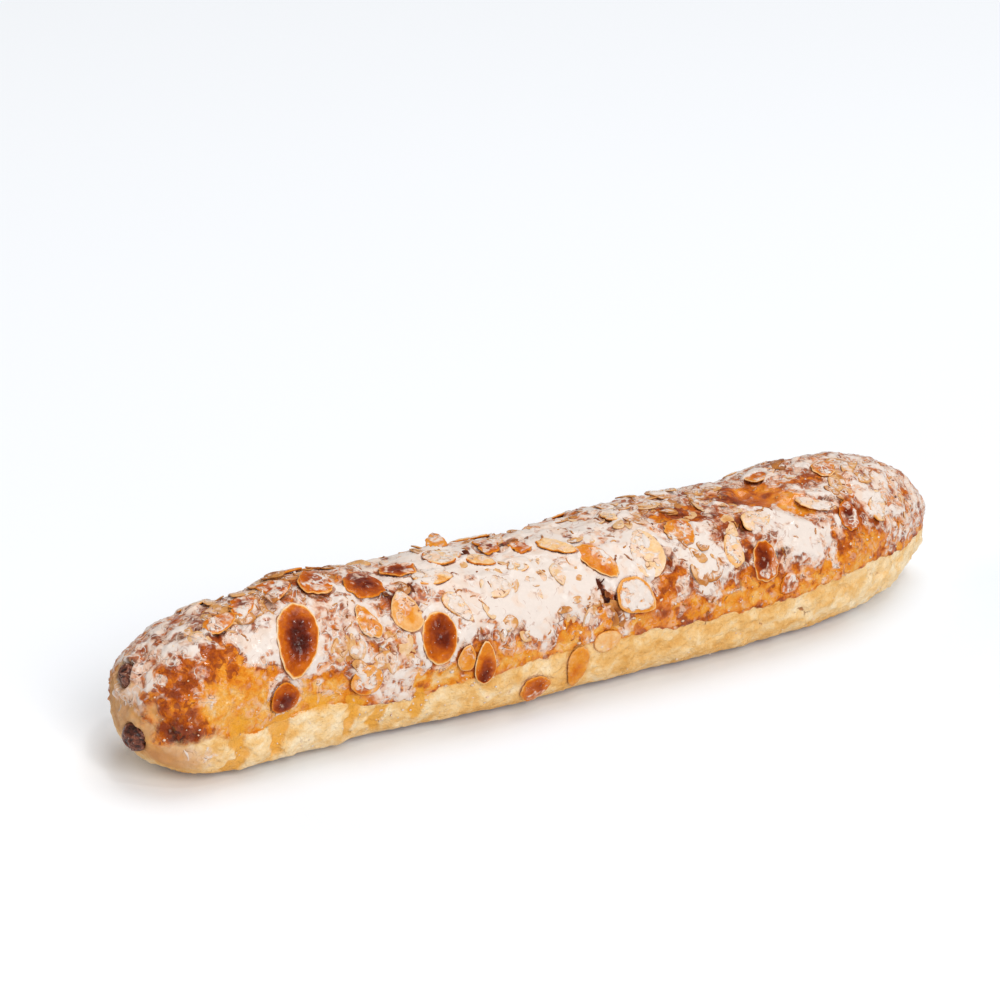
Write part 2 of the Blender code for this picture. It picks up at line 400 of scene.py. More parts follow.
@dataclass(frozen=True)
class IcedFinish:
    """What crust and almonds share: a baked colour with a broken coat of sugar icing over it."""

    name: str
    bake_stops: Stops
    mottle: float
    fine_mottle: float
    grain_depth: float  # mm
    icing_depth: float  # mm
    specular: float = 0.06
    coat_roughness: float = 0.10

    def icing_share(self, recipe: Recipe) -> Wire:
        """Where the icing lies: 0 bare, 1 covered.

        Args:
            recipe: The material's nodes.

        Returns:
            The share.
        """
        ragged = recipe.noise(4.4, 0.0, 0.8) * 0.85 + recipe.noise(1.8, 0.0, 0.7) * 0.24
        return recipe.drawn("icing") + ragged

    def baked(self, recipe: Recipe) -> Wire:
        """Colour of the baked surface.

        Args:
            recipe: The material's nodes.

        Returns:
            The colour.
        """
        broad = recipe.noise(3.8, 2.0, 0.6) * self.mottle
        fine = recipe.noise(0.9, 2.0, 0.5) * self.fine_mottle
        return recipe.ramp(recipe.drawn("bake") + broad + fine, self.bake_stops)

    def iced(self, recipe: Recipe, under: Wire, share: Wire, cover: Wire) -> tuple[Wire, Wire]:
        """Lays thin icing, its strands and brown flecks, and then full icing over a colour.

        Args:
            recipe: The material's nodes.
            under: The colour below.
            share: Where the icing lies.
            cover: Where it covers fully.

        Returns:
            The colour with its icing, and how high the icing stands.
        """
        film = share.rise(0.14, 0.36)
        cloudy = recipe.noise(3.0, 1.0, 0.9).rise(-0.12, 0.09)
        strands = abs(recipe.noise(4.6, 0.0, 1.6)).rise(0.060, 0.020)
        arcs = abs(recipe.noise(3.4, 0.0, 1.4)).rise(0.028, 0.012)
        arcs = arcs * recipe.noise(3.9, 0.0, 0.8).rise(-0.01, 0.05)
        pores = recipe.cells(1.6).rise(0.22, 0.14) * recipe.noise(4.5, 1.0).rise(-0.02, 0.06)
        colour = recipe.mix(under, THIN_ICING, film * (cloudy * 0.74 + 0.12))
        colour = recipe.mix(colour, ICING, strands * film * 0.85)
        colour = recipe.mix(colour, PORE, (arcs + pores * 0.8).rise(0.0, 1.0) * film * 0.8)
        height = film * (cloudy * 0.35 + strands * 0.2 - arcs * 0.5) * (1.0 - cover)
        thin = recipe.noise(5.2, 1.0, 0.9).rise(-0.01, 0.12) * share.rise(1.10, 0.60)
        coat = recipe.mix(ICING, CREAM, thin * 0.72 + 0.16)
        return recipe.mix(colour, coat, cover), height + cover * 0.8


@dataclass(frozen=True)
class CrustFinish(IcedFinish):
    """The loaf's crust: egg-washed and browned, pale at its foot, iced over the top."""

    name: str = "crust"
    bake_stops: Stops = (
        (0.00, (0.82, 0.54, 0.26)),
        (0.18, (0.78, 0.365, 0.062)),
        (0.34, (0.73, 0.240, 0.014)),
        (0.48, (0.60, 0.148, 0.007)),
        (0.62, (0.41, 0.078, 0.005)),
        (0.78, (0.22, 0.034, 0.005)),
        (1.00, (0.05, 0.009, 0.004)),
    )
    mottle: float = 0.75
    fine_mottle: float = 0.30
    grain_depth: float = 0.70
    icing_depth: float = 0.36
    # Dough colours from dark to pale; the crumbs' hollows take the darker ones as painted shade.
    foot_stops: Stops = (
        (0.22, (0.72, 0.36, 0.090)),
        (0.42, (0.82, 0.475, 0.165)),
        (0.60, (0.87, 0.59, 0.285)),
        (0.84, (0.92, 0.74, 0.49)),
    )
    spot: Colour = (0.25, 0.042, 0.009)
    wash: Colour = (0.78, 0.345, 0.030)
    seam: Colour = (0.36, 0.110, 0.030)
    tan: Colour = (0.51, 0.218, 0.084)
    speck: Colour = (0.52, 0.24, 0.05)
    # Brown along the base: browning from the tray, with painted contact shade.
    tray_brown_and_shade: Colour = (0.34, 0.10, 0.02)
    # Near black painted into pits and cracks: painted shade.
    scorch: Colour = (0.09, 0.016, 0.006)

    def baked(self, recipe: Recipe) -> Wire:
        """Colour of the baked crust, calmer where it is smooth and shiny.

        Args:
            recipe: The material's nodes.

        Returns:
            The colour.
        """
        broad = recipe.noise(3.8, 2.0, 0.6) * self.mottle
        fine = recipe.noise(0.9, 2.0, 0.5) * self.fine_mottle
        uneven = (broad + fine) * (1.0 - recipe.drawn("gloss") * 0.6)
        colour = recipe.ramp(recipe.drawn("bake") + uneven, self.bake_stops)
        spots = recipe.noise(2.3, 1.0, 1.0).rise(0.04, 0.08) * recipe.drawn("bake").rise(0.32, 0.48)
        return recipe.mix(colour, self.spot, spots * (0.75 - recipe.drawn("gloss") * 0.6))

    def crumbs(self, recipe: Recipe) -> Wire:
        """The coarse crumbs of the pale foot, high where they stand out."""
        return recipe.noise(3.2, 2.0, 0.6) * 0.8 + recipe.noise(0.9, 0.0, 0.4) * 0.25

    def dough(self, recipe: Recipe) -> Wire:
        """Pale foot colour: grain and specks, painted shade in crumb hollows, painted light on tops.

        Args:
            recipe: The material's nodes.

        Returns:
            The colour.
        """
        # Painted shade and light: the crumbs' hollows darken the dough and their tops lighten it, over
        # its own grain.
        grain = recipe.noise(8.0, 2.0, 0.6) * 1.1 + self.crumbs(recipe) * 0.6 + 0.57
        dough = recipe.ramp(grain + recipe.drawn("floury"), self.foot_stops)
        specks = recipe.cells(2.1).rise(0.13, 0.08) * recipe.noise(5.0, 1.0).rise(0.0, 0.1)
        dough = recipe.mix(dough, self.speck, specks * 0.6)
        dough = recipe.mix(dough, self.tan, recipe.drawn("tan") * 0.88)
        # Browner near the base: tray browning, with painted contact shade where the log meets the floor.
        burnt_and_shaded = (recipe.drawn("tray") + recipe.noise(1.6, 1.0) * 1.2).rise(0.34, 0.60)
        return recipe.mix(dough, self.tray_brown_and_shade, burnt_and_shaded * 0.85)

    def make(self) -> bpy.types.Material:
        """Builds the material.

        Returns:
            The material.
        """
        recipe = Recipe(self.name)
        fine = recipe.noise(0.6, 2.0)
        middle = recipe.noise(1.9, 2.0, 0.4)
        foot = recipe.drawn("foot") + middle * 0.5 + fine * 0.3
        soft = recipe.drawn("soft")
        foot = foot.rise(0.44, 0.54) * (1.0 - soft) + foot.rise(0.15, 0.85) * soft
        flecks = recipe.noise(1.9, 0.0, 1.2).rise(0.05, 0.11) * recipe.noise(6.0, 0.0).rise(-0.05, 0.1)
        granules = recipe.cells(1.1).rise(0.26, 0.14) * recipe.noise(3.4, 0.0).rise(-0.03, 0.05)
        flecks = (flecks + granules * 0.8) * recipe.drawn("bake").rise(0.60, 0.30)
        under = recipe.mix(self.baked(recipe), THIN_ICING, flecks * 0.30)
        under = recipe.mix(under, self.dough(recipe), foot)
        wash = (recipe.drawn("wash") + middle * 0.9 + fine * 0.5).rise(0.0, 1.0)
        under = recipe.mix(under, self.wash, wash * 0.82)
        share = self.icing_share(recipe)
        cover = share.rise(0.42, 0.62)
        colour, height = self.iced(recipe, under, share, cover)
        hairs = abs(recipe.noise(6.5, 0.5, 1.4)).rise(0.018, 0.006)
        hairs = hairs * recipe.noise(3.0, 0.0, 0.8).rise(0.06, 0.11)
        colour = recipe.mix(colour, PORE, hairs * cover * 0.34)
        seam = (recipe.drawn("seam") + middle * 1.2).rise(0.40, 0.65)
        colour = recipe.mix(colour, self.seam, seam * 0.8)
        # Painted shade: near black in the pits and cracks.
        scorch = (recipe.drawn("scorch") + fine * 0.8).rise(0.42, 0.55)
        colour = recipe.mix(colour, self.scorch, scorch)
        gloss = recipe.drawn("gloss")
        grit = recipe.cells(1.3) * 0.30 + middle * 1.1 + fine * 0.5 + self.crumbs(recipe) * foot * 0.9
        grit = grit * (1.0 - gloss * 0.8) * (1.0 - recipe.drawn("tan") * 0.7)
        normal = recipe.relief(grit * (1.0 - cover * 0.8), self.grain_depth)
        normal = recipe.relief(height - seam * 0.5, self.icing_depth, normal)
        return recipe.finish(
            base_color=colour,
            roughness=foot * 0.28 + cover * 0.04 + fine * 0.3 - gloss * 0.12 + 0.36,
            specular_ior_level=self.specular,
            normal=normal,
            coat_weight=(1.0 - foot) * recipe.noise(2.5, 2.0).rise(-0.08, 0.10) * 0.50 + gloss * 0.5,
            coat_roughness=self.coat_roughness,
        )


# Browning of the almonds that are sunk in the icing, duller than that of those on top.
TOASTED = (
    (0.00, (0.84, 0.66, 0.48)),
    (0.18, (0.74, 0.47, 0.24)),
    (0.36, (0.62, 0.29, 0.085)),
    (0.52, (0.46, 0.165, 0.035)),
    (0.68, (0.27, 0.075, 0.016)),
    (0.84, (0.12, 0.025, 0.008)),
    (1.00, (0.035, 0.008, 0.004)),
)


@dataclass(frozen=True)
class AlmondFinish(IcedFinish):
    """A flaked almond's cut face, from ivory to burnt, iced, with pale specks of sugar and painted
    glint.
    """

    name: str = "almond"
    bake_stops: Stops = (
        (0.00, (0.86, 0.66, 0.47)),
        (0.16, (0.80, 0.50, 0.23)),
        (0.34, (0.72, 0.26, 0.022)),
        (0.50, (0.58, 0.132, 0.005)),
        (0.66, (0.33, 0.052, 0.004)),
        (0.82, (0.13, 0.014, 0.003)),
        (1.00, (0.028, 0.004, 0.002)),
    )
    mottle: float = 0.34
    fine_mottle: float = 0.12
    grain_depth: float = 0.45
    icing_depth: float = 0.30
    # Pale specks: partly sugar, partly painted glints.
    sugar: Colour = (0.80, 0.56, 0.40)

    def make(self) -> bpy.types.Material:
        """Builds the material.

        Returns:
            The material.
        """
        recipe = Recipe(self.name)
        fine = recipe.noise(0.6, 2.0)
        share = self.icing_share(recipe)
        cover = share.rise(0.50, 0.58)
        # Pale specks over the cut face: sugar, and painted glints.
        sugar = recipe.cells(1.1).rise(0.20, 0.12) * recipe.noise(2.6, 2.0).rise(0.04, 0.10)
        colour = recipe.mix(self.baked(recipe), self.sugar, sugar * 0.62)
        colour, height = self.iced(recipe, colour, share, cover)
        grain = recipe.noise(1.6, 1.0, 0.6) * 1.3 + sugar * 0.3
        normal = recipe.relief(grain, self.grain_depth)
        normal = recipe.relief(height, self.icing_depth, normal)
        return recipe.finish(
            base_color=colour,
            roughness=cover * 0.12 + fine * 0.3 + 0.32,
            specular_ior_level=self.specular,
            normal=normal,
            coat_weight=recipe.noise(2.0, 2.0).rise(-0.08, 0.10) * 0.36,
            coat_roughness=self.coat_roughness,
        )


@dataclass(frozen=True)
class RaisinFinish:
    """Dark, leathery raisin skin with dust, painted shade in its creases and light on its wrinkles."""

    name: str = "raisin"
    icing: float = 0.0
    redness: float = 0.0
    # Skin colours; the creases take the darkest as painted shade, the raised wrinkles the lightest as
    # painted light.
    skin_stops: Stops = (
        (0.20, (0.022, 0.008, 0.006)),
        (0.60, (0.105, 0.026, 0.013)),
        (0.85, (0.22, 0.068, 0.036)),
        (1.00, (0.38, 0.18, 0.11)),
    )
    dust: Colour = (0.60, 0.42, 0.34)

    def make(self) -> bpy.types.Material:
        """Builds the material.

        Returns:
            The material.
        """
        recipe = Recipe(self.name)
        fine = recipe.noise(0.6, 3.0)
        # Painted shade and light: darker in the creases, lighter on the raised wrinkles.
        tone = recipe.drawn("fold") * 0.7 + fine * 0.8 + (0.05 + self.redness)
        skin = recipe.ramp(tone, self.skin_stops)
        dust = recipe.cells(1.2).rise(0.24, 0.14) * recipe.noise(2.0, 1.0).rise(0.02, 0.08)
        skin = recipe.mix(skin, self.dust, dust * 0.6)
        film = (recipe.noise(1.6, 1.0, 0.6) + self.icing).rise(0.10, 0.22)
        return recipe.finish(
            base_color=recipe.mix(skin, THIN_ICING, film * 0.8),
            roughness=fine * 0.3 + 0.30,
            specular_ior_level=0.18,
            normal=recipe.relief(recipe.noise(0.5, 3.0), 0.25),
            coat_weight=0.26,
            coat_roughness=0.12,
        )


@dataclass(frozen=True)
class FloorFinish:
    """White studio paper with painted shadow in front of the log and painted light past its near end."""

    name: str = "paper"
    cool: Colour = (0.850, 0.870, 0.900)
    warm: Colour = (0.870, 0.888, 0.915)
    # Tone of the painted shadow in front of the log, and of the painted light past its near end.
    painted_shadow_in_front: Colour = (0.795, 0.835, 0.890)
    painted_light_past_near_end: Colour = (0.93, 0.94, 0.95)
    # The paper glows faintly: painted light.
    painted_glow: float = 0.07

    def make(self) -> bpy.types.Material:
        """Builds the material.

        Returns:
            The material.
        """
        recipe = Recipe(self.name)
        tooth = recipe.noise(3.0, 2.0)
        tone = recipe.mix(self.cool, self.warm, recipe.noise(400.0, 1.0) + 0.5)
        across = recipe.add("SeparateXYZ", feeds={0: recipe.place}, output="Y")
        along = recipe.add("SeparateXYZ", feeds={0: recipe.place}, output="X")
        # Painted shadow: a darker band of paper in front of the log.
        front = across.rise(-105.0, -32.0) * across.rise(10.0, -20.0) * along.rise(-150.0, -110.0)
        tone = recipe.mix(tone, self.painted_shadow_in_front, front)
        # Painted light: brighter paper past the near end.
        painted_light_zone = along.rise(-135.0, -175.0) * across.rise(90.0, 20.0)
        tone = recipe.mix(tone, self.painted_light_past_near_end, painted_light_zone)
        return recipe.finish(
            base_color=tone,
            # Painted light: the paper glows faintly in its own tone.
            emission_color=tone,
            emission_strength=self.painted_glow,
            roughness=0.85,
            specular_ior_level=0.1,
            normal=recipe.relief(tooth, 0.02),
        )


# ---------------------------------------------------------------- meshes


def write_mesh(
    name: str,
    points: Array,
    faces: Faces,
    drawn: Mapping[str, Array],
    material: bpy.types.Material,
) -> Piece:
    """Writes points in mm as a smooth object that rides on the log.

    Args:
        name: Name of the object.
        points: Its points, in mm.
        faces: Its faces.
        drawn: Values at each point, by name.
        material: Its finish.

    Returns:
        The object.
    """
    mesh = bpy.data.meshes.new(name)
    mesh.from_pydata((points * MM).tolist(), [], faces)
    for value_name, values in drawn.items():
        layer = mesh.attributes.new(value_name, "FLOAT", "POINT")
        layer.data.foreach_set("value", np.asarray(values, np.float32))
    mesh.materials.append(material)
    mesh.shade_smooth()
    piece = bpy.data.objects.new(name, mesh)
    bpy.context.scene.collection.objects.link(piece)
    LOG.info("%s: %d points, %d faces", name, len(points), len(faces))
    return piece


@dataclass
class Heap:
    """Several small shapes gathered into one mesh."""

    points: list[Array] = field(default_factory=list)
    faces: Faces = field(default_factory=list)
    drawn: dict[str, list[Array]] = field(default_factory=dict)
    count: int = 0

    def put(self, points: Array, faces: Iterable[tuple[int, ...]], drawn: Mapping[str, Array]) -> None:
        """Adds one shape.

        Args:
            points: Its points, in mm.
            faces: Its faces.
            drawn: Its values at each point.
        """
        self.points.append(points)
        self.faces.extend(tuple(corner + self.count for corner in face) for face in faces)
        for name, values in drawn.items():
            self.drawn.setdefault(name, []).append(values)
        self.count += len(points)

    def write(self, name: str, material: bpy.types.Material, slot: str) -> Piece:
        """Writes the heap as one object on the log.

        Args:
            name: Name of the object.
            material: Its finish.
            slot: Not used.

        Returns:
            The object.
        """
        drawn = {key: np.concatenate(values) for key, values in self.drawn.items()}
        piece = write_mesh(name, np.concatenate(self.points), self.faces, drawn, material)
        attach(piece, "root")
        return piece


def node_points(node: Piece) -> Array:
    """Reads the points of a piece of the frame.

    Args:
        node: The piece.

    Returns:
        Its points in mm, one a row.
    """
    points = np.empty(len(node.data.vertices) * 3)
    node.data.vertices.foreach_get("co", points)
    return points.reshape(-1, 3) / MM


def node_tree(points: Array, faces: Iterable[Iterable[int]]) -> BVHTree:
    """A search tree over faces, in mm."""
    return BVHTree.FromPolygons([tuple(p) for p in points.tolist()], [tuple(f) for f in faces])


def pod_faces(rings: int, sides: int) -> Faces:
    """Faces of a closed shape: a first point, rings of points, and a last point.

    Args:
        rings: Number of rings.
        sides: Points in each ring.

    Returns:
        The faces, pointing out where the rings run round the first point to the left.
    """
    last = 1 + rings * sides
    below = last - sides
    faces: Faces = []
    for side in range(sides):
        after = (side + 1) % sides
        faces.append((0, 1 + side, 1 + after))
        faces.append((last, below + after, below + side))
        for start in range(1, below, sides):
            faces.append((start + side, start + sides + side, start + sides + after, start + after))
    return faces


def ball_points(rings: int, sides: int) -> Array:
    """Points of a ball of radius 1, in the order in which pod_faces joins them.

    Args:
        rings: Number of rings.
        sides: Points in each ring.

    Returns:
        The points, one a row.
    """
    rise = np.linspace(0, math.pi, rings + 2)[1:-1]
    turn = np.arange(sides) * 2 * math.pi / sides
    rim = [
        np.sin(rise)[:, None] * np.cos(turn),
        np.sin(rise)[:, None] * np.sin(turn),
        np.cos(rise)[:, None] + 0 * turn,
    ]
    return np.concatenate([[[0, 0, 1.0]], np.stack(rim, 2).reshape(-1, 3), [[0, 0, -1.0]]])


# ---------------------------------------------------------------- the loaf's form


@dataclass
class LoafForm:
    """The smooth form of the loaf, measured from its solid."""

    node: Piece
    raisin_centres: list[Array]
    near_cap: float = -127.0  # station from which the rays fan out over the near end
    far_cap: float = 112.0
    cap_sweep: float = 89.0  # degrees
    near_cap_rows: int = 64
    far_cap_rows: int = 66
    row_spacing: float = 0.72
    front_columns: int = 150
    back_columns: int = 54
    base_columns: int = 12
    front_end: float = 108.0  # angle where the closer columns of the front end
    base_half_angle: float = 33.0
    smoothing: float = 2.4
    middle_level: float = 0.46  # share of the height
    spine_stations: int = 30
    outside: float = 200.0  # a distance that is well outside the loaf
    raisin_reach: float = 6.2  # nearer to a raisin than this, the form bridges its socket
    raisin_blur: float = 7.0
    missed_reach: float = 20.0  # where a ray meets nothing
    seat_reach: float = 22.0
    last_station: float = 146.0

    def __post_init__(self) -> None:
        """Measures the solid and lays the smooth grid over it."""
        self.solid = node_tree(node_points(self.node), [p.vertices for p in self.node.data.polygons])
        self._measure_spine()
        self._lay_grid()

    def _measure_spine(self) -> None:
        """Finds the middle of the section along the log."""
        self.stations = np.linspace(self.near_cap, self.far_cap, self.spine_stations)
        far = self.outside
        sides = []
        levels = []
        for station in self.stations:
            top = self.solid.ray_cast(Vector((station, 0, far)), Vector((0, 0, -1)))[0].z
            level = self.middle_level * top
            front = self.solid.ray_cast(Vector((station, -far, level)), Vector((0, 1, 0)))[0].y
            back = self.solid.ray_cast(Vector((station, far, level)), Vector((0, -1, 0)))[0].y
            sides.append((front + back) / 2)
            levels.append(level)
        self.sides = np.array(sides)
        self.levels = np.array(levels)

    def middle(self, station: Array) -> tuple[Array, Array]:
        """The middle of the section.

        Args:
            station: Stations.

        Returns:
            Its place across, and its level.
        """
        across = np.interp(station, self.stations, self.sides)
        return across, np.interp(station, self.stations, self.levels)

    def _rays(self) -> tuple[Array, Array]:
        """Lays out the rays that measure the form: straight out along the loaf, fanned at its ends.

        Returns:
            A start for each row, and a direction for each point.
        """
        near_rows = np.linspace(-self.cap_sweep, 0.0, self.near_cap_rows)[:-1]
        straight = np.arange(self.near_cap, self.far_cap, self.row_spacing)
        far_rows = np.linspace(0.0, self.cap_sweep, self.far_cap_rows)
        near_starts = np.full(len(near_rows), self.near_cap)
        far_starts = np.full(len(far_rows), self.far_cap)
        spine = np.concatenate([near_starts, straight, far_starts])
        lean = np.radians(np.concatenate([near_rows, np.zeros(len(straight)), far_rows]))
        edge = -90.0 + self.base_half_angle
        front = np.linspace(edge, self.front_end, self.front_columns, endpoint=False)
        back = np.linspace(self.front_end, 180.0 - edge, self.back_columns, endpoint=False)
        base = np.linspace(180.0 - edge, 360.0 + edge, self.base_columns, endpoint=False)
        turns = np.radians(np.concatenate([front, back, base]))
        across, level = self.middle(spine)
        start = np.stack([spine, across, level], 1)[:, None, :]
        way = [
            np.sin(lean)[:, None] + 0 * turns[None],
            -np.cos(lean)[:, None] * np.cos(turns)[None],
            np.cos(lean)[:, None] * np.sin(turns)[None],
        ]
        return start, np.stack(way, 2)

    def _distances(self, start: Array, way: Array) -> Array:
        """Measures along each ray to the solid, bridges the raisins' sockets, and smooths.

        Args:
            start: A start for each row.
            way: A direction for each point.

        Returns:
            The distance for each point.
        """
        reach = np.zeros(way.shape[:2])
        known = np.ones(way.shape[:2])
        for row in range(way.shape[0]):
            origin = Vector(start[row, 0])
            for column in range(way.shape[1]):
                hit = self.solid.ray_cast(origin, Vector(way[row, column]))
                reach[row, column] = hit[3] if hit[3] is not None else self.missed_reach
        for centre in self.raisin_centres:
            gap = np.linalg.norm(start + way * reach[..., None] - centre, axis=2)
            known[gap < self.raisin_reach] = 0.0
        wide = self.raisin_blur / self.row_spacing
        filled = soften(reach * known, wide, wide) / np.maximum(soften(known, wide, wide), 1e-6)
        reach = np.where(known > 0, reach, filled)
        blur = self.smoothing / self.row_spacing
        return soften(reach, blur, blur)

    def _lay_grid(self) -> None:
        """Lays the grid of points where the rays end, with its faces and outward directions."""
        start, way = self._rays()
        grid = start + way * self._distances(start, way)[..., None]
        grid[..., 2] = np.maximum(grid[..., 2], 0.0)
        self.rows, self.around = grid.shape[:2]
        along = np.gradient(grid, axis=0)
        round_way = (np.roll(grid, -1, axis=1) - np.roll(grid, 1, axis=1)) / 2
        outward = np.cross(along, round_way)
        outward /= np.linalg.norm(outward, axis=2)[..., None] + 1e-12
        outward *= np.sign((outward * way).sum(axis=2))[..., None]
        tips = np.stack([grid[0].mean(axis=0), grid[-1].mean(axis=0)])
        self.points = np.concatenate([grid.reshape(-1, 3), tips])
        self.outward = np.concatenate([outward.reshape(-1, 3), [[-1, 0, 0], [1, 0, 0]]])
        self.faces = self._faces()
        self.tree = node_tree(self.points, self.faces)
        self.station, self.angle, self.radius = self.places(self.points)

    def _faces(self) -> Faces:
        """Joins the grid's points.

        Returns:
            The faces: quads, and a fan at each tip.
        """
        rows = self.rows
        around = self.around
        faces: Faces = []
        for row in range(rows - 1):
            here = row * around
            there = here + around
            for column in range(around):
                after = (column + 1) % around
                faces.append((here + column, here + after, there + after, there + column))
        near = rows * around
        far = near + 1
        last = near - around
        for column in range(around):
            after = (column + 1) % around
            faces.append((near, after, column))
            faces.append((far, last + column, last + after))
        return faces

    def places(self, points: Array) -> tuple[Array, Array, Array]:
        """Finds where points lie on the loaf.

        Args:
            points: Points in mm.

        Returns:
            Their stations, angles from -90 to 270, and distances from the middle.
        """
        across, level = self.middle(points[:, 0])
        out = across - points[:, 1]
        up = points[:, 2] - level
        angle = (np.degrees(np.arctan2(up, out)) + 90.0) % 360.0 - 90.0
        return points[:, 0], angle, np.hypot(out, up)

    def reach(self, tree: BVHTree, station: float, angle: float) -> float:
        """Distance from the middle to the surface at a place."""
        hit, _ = self.seat(tree, station, angle)
        return float(self.places(np.array([hit]))[2][0])

    def seat(self, tree: BVHTree, station: float, angle: float) -> tuple[Vector, Vector]:
        """Finds the surface at a place.

        Args:
            tree: The surface, smooth or with its relief.
            station: Station.
            angle: Angle.

        Returns:
            The point and its outward direction.
        """
        station = min(max(station, -self.last_station), self.last_station)
        across, level = self.middle(np.array([station]))
        turn = math.radians(angle)
        way = Vector((0.0, -math.cos(turn), math.sin(turn)))
        start = Vector((station, across[0], level[0]))
        hit, normal, _, _ = tree.ray_cast(start, way)
        if hit is None:
            return start + way * self.seat_reach, way
        return hit, normal if normal.dot(way) > 0 else -normal


# ---------------------------------------------------------------- almonds


class Tone(Enum):
    """How far an almond is baked."""

    DARK = "dark"
    AMBER = "amber"
    PALE = "pale"


@dataclass(frozen=True)
class Look:
    """How one almond is browned, iced and laid. Places are shares of its half sizes.

    Browning is core at the core's place, ring away from it, rim near the rim and wall at the edge;
    the underside is browner than wall, as painted shade under the almond. Bare_rim holds the icing
    off the rim, halo is icing round it, and flow is how much of the crust's icing runs over it.
    Blister, curl, dome, lean, sink and roll are in mm.
    """

    core: float = 0.5
    ring: float = 0.4
    rim: float = 0.15
    core_along: float = 0.0
    core_across: float = 0.0
    core_size: float = 0.7
    icing: float = 0.0
    icing_along: float = 0.0
    icing_across: float = 0.0
    blister: float = 0.10
    curl: float = 0.20
    ragged: float = 0.05
    dome: float = 0.0
    wall: float = 0.36
    bare_rim: float = 0.30
    narrowing: float | None = None
    lean: float = 0.0
    sink: float = 0.0
    flow: float | None = None
    halo: float = 0.0
    roll: float = 0.0
    bedded: bool = True


TONE_LOOKS = {
    Tone.DARK: Look(core=0.76, ring=0.56, rim=0.26, icing=0.30, blister=0.16),
    Tone.AMBER: Look(core=0.58, ring=0.42, rim=0.16, icing=0.42),
    Tone.PALE: Look(core=0.16, ring=0.12, rim=0.30, icing=0.52, curl=0.15),
}

# Almonds whose browning or icing differs from the rest of their tone.
OWN_LOOKS = {
    "almond_dark_01": Look(
        0.93, 0.56, 0.06, -0.05, 0.05, 0.72, -0.2, blister=0.2, curl=0.45, ragged=0.02,
        narrowing=0.12, halo=0.10,
    ),
    "almond_dark_02": Look(0.84, 0.60, 0.40, 0.05, 0.05, 0.85, 0.02, ragged=0.02, dome=0.7, halo=0.44),
    "almond_dark_03": Look(0.78, 0.50, 0.25, icing=0.30, ragged=0.12),
    "almond_dark_04": Look(0.82, 0.56, 0.40, 0.1, 0.0, 0.95, 0.10, blister=0.28),
    "almond_dark_05": Look(0.78, 0.54, 0.24, 0.1, 0.1, 0.8, 0.24, ragged=0.10),
    "almond_dark_06": Look(
        0.80, 0.50, 0.12, -0.2, 0.1, 0.92, -0.2, blister=0.2, curl=0.3, ragged=0.02,
        narrowing=0.16, halo=0.42,
    ),
    "almond_dark_07": Look(0.64, 0.46, 0.30, 0.0, 0.0, 0.8, 0.12, blister=0.22, curl=0.0),
    "almond_dark_08": Look(0.62, 0.46, 0.34, icing=0.22, ragged=0.14),
    "almond_dark_09": Look(0.80, 0.50, 0.34, icing=0.25, ragged=0.14),
    "almond_dark_10": Look(0.60, 0.40, 0.24, 0.4, 0.2, 0.5, 0.36, ragged=0.08),
    "almond_dark_11": Look(0.84, 0.56, 0.20, 0.1, 0.2, 0.8, 0.06, 0.0, -0.6, blister=0.2),
    "almond_dark_12": Look(0.86, 0.60, 0.42, icing=0.25, ragged=0.10),
    "almond_amber_01": Look(0.58, 0.46, 0.26, 0.0, 0.2, 0.5, 0.34),
    "almond_amber_02": Look(0.68, 0.54, 0.34, 0.1, -0.1, 0.7, 0.36, ragged=0.08),
    "almond_amber_03": Look(0.70, 0.54, 0.24, 0.1, 0.0, 0.6, 0.34),
    "almond_amber_04": Look(0.66, 0.52, 0.34, -0.1, 0.1, 0.7, 0.36, ragged=0.08),
    "almond_amber_05": Look(0.44, 0.34, 0.10, icing=0.26, icing_across=0.4),
    "almond_amber_06": Look(0.38, 0.27, 0.16, icing=0.26, icing_along=0.5),
    "almond_amber_07": Look(0.42, 0.34, 0.20, icing=0.18),
    "almond_amber_08": Look(0.80, 0.42, 0.08, -0.50, 0.0, 0.95, -0.15, curl=0.4, ragged=0.02),
    "almond_amber_09": Look(0.42, 0.37, 0.30, icing=-0.25, curl=0.15, ragged=0.02),
    "almond_amber_10": Look(0.50, 0.40, 0.14, 0.5, -0.3, 0.5, 0.14, 0.2, 0.8, curl=0.45),
    "almond_amber_11": Look(0.26, 0.22, 0.30, icing=0.10, curl=0.0),
    "almond_pale_01": Look(0.30, 0.16, 0.34, 0.3, -0.4, 0.5, 0.46, 0.0, 0.6),
    "almond_pale_02": Look(0.60, 0.30, 0.26, 0.3, 0.35, 0.55, 0.34),
    "almond_pale_03": Look(0.44, 0.34, 0.40, icing=0.20, curl=0.3, lean=2.0, sink=1.4),
    "almond_pale_04": Look(0.18, 0.14, 0.55, icing=0.50, curl=0.5),
    "almond_pale_05": Look(0.20, 0.14, 0.50, icing=0.30, curl=0.5),
    "almond_pale_06": Look(0.10, 0.08, 0.20, icing=0.56),
    "almond_pale_08": Look(0.16, 0.14, 0.40, icing=0.22, curl=0.4),
    "almond_pale_10": Look(0.36, 0.34, 0.27, icing=0.72, curl=0.7, ragged=0.03, flow=0.0, bare_rim=0.95),
    "almond_pale_11": Look(0.10, 0.12, 0.10, 0.2, 0.2, 0.6, 0.29, -0.3, 0.5, bare_rim=0.12),
    "almond_pale_12": Look(0.16, 0.18, 0.20, icing=0.36),
    "almond_pale_13": Look(0.66, 0.52, 0.40, icing=0.40),
    "almond_pale_14": Look(0.14, 0.12, 0.26, icing=0.44),
    "almond_pale_15": Look(0.16, 0.12, 0.20, icing=0.66, curl=0.5, sink=0.7, roll=-0.8, bedded=False),
}


def look_of(name: str) -> Look:
    """The look of the almond with this name."""
    return OWN_LOOKS.get(name, TONE_LOOKS[Tone(name.split("_")[1])])


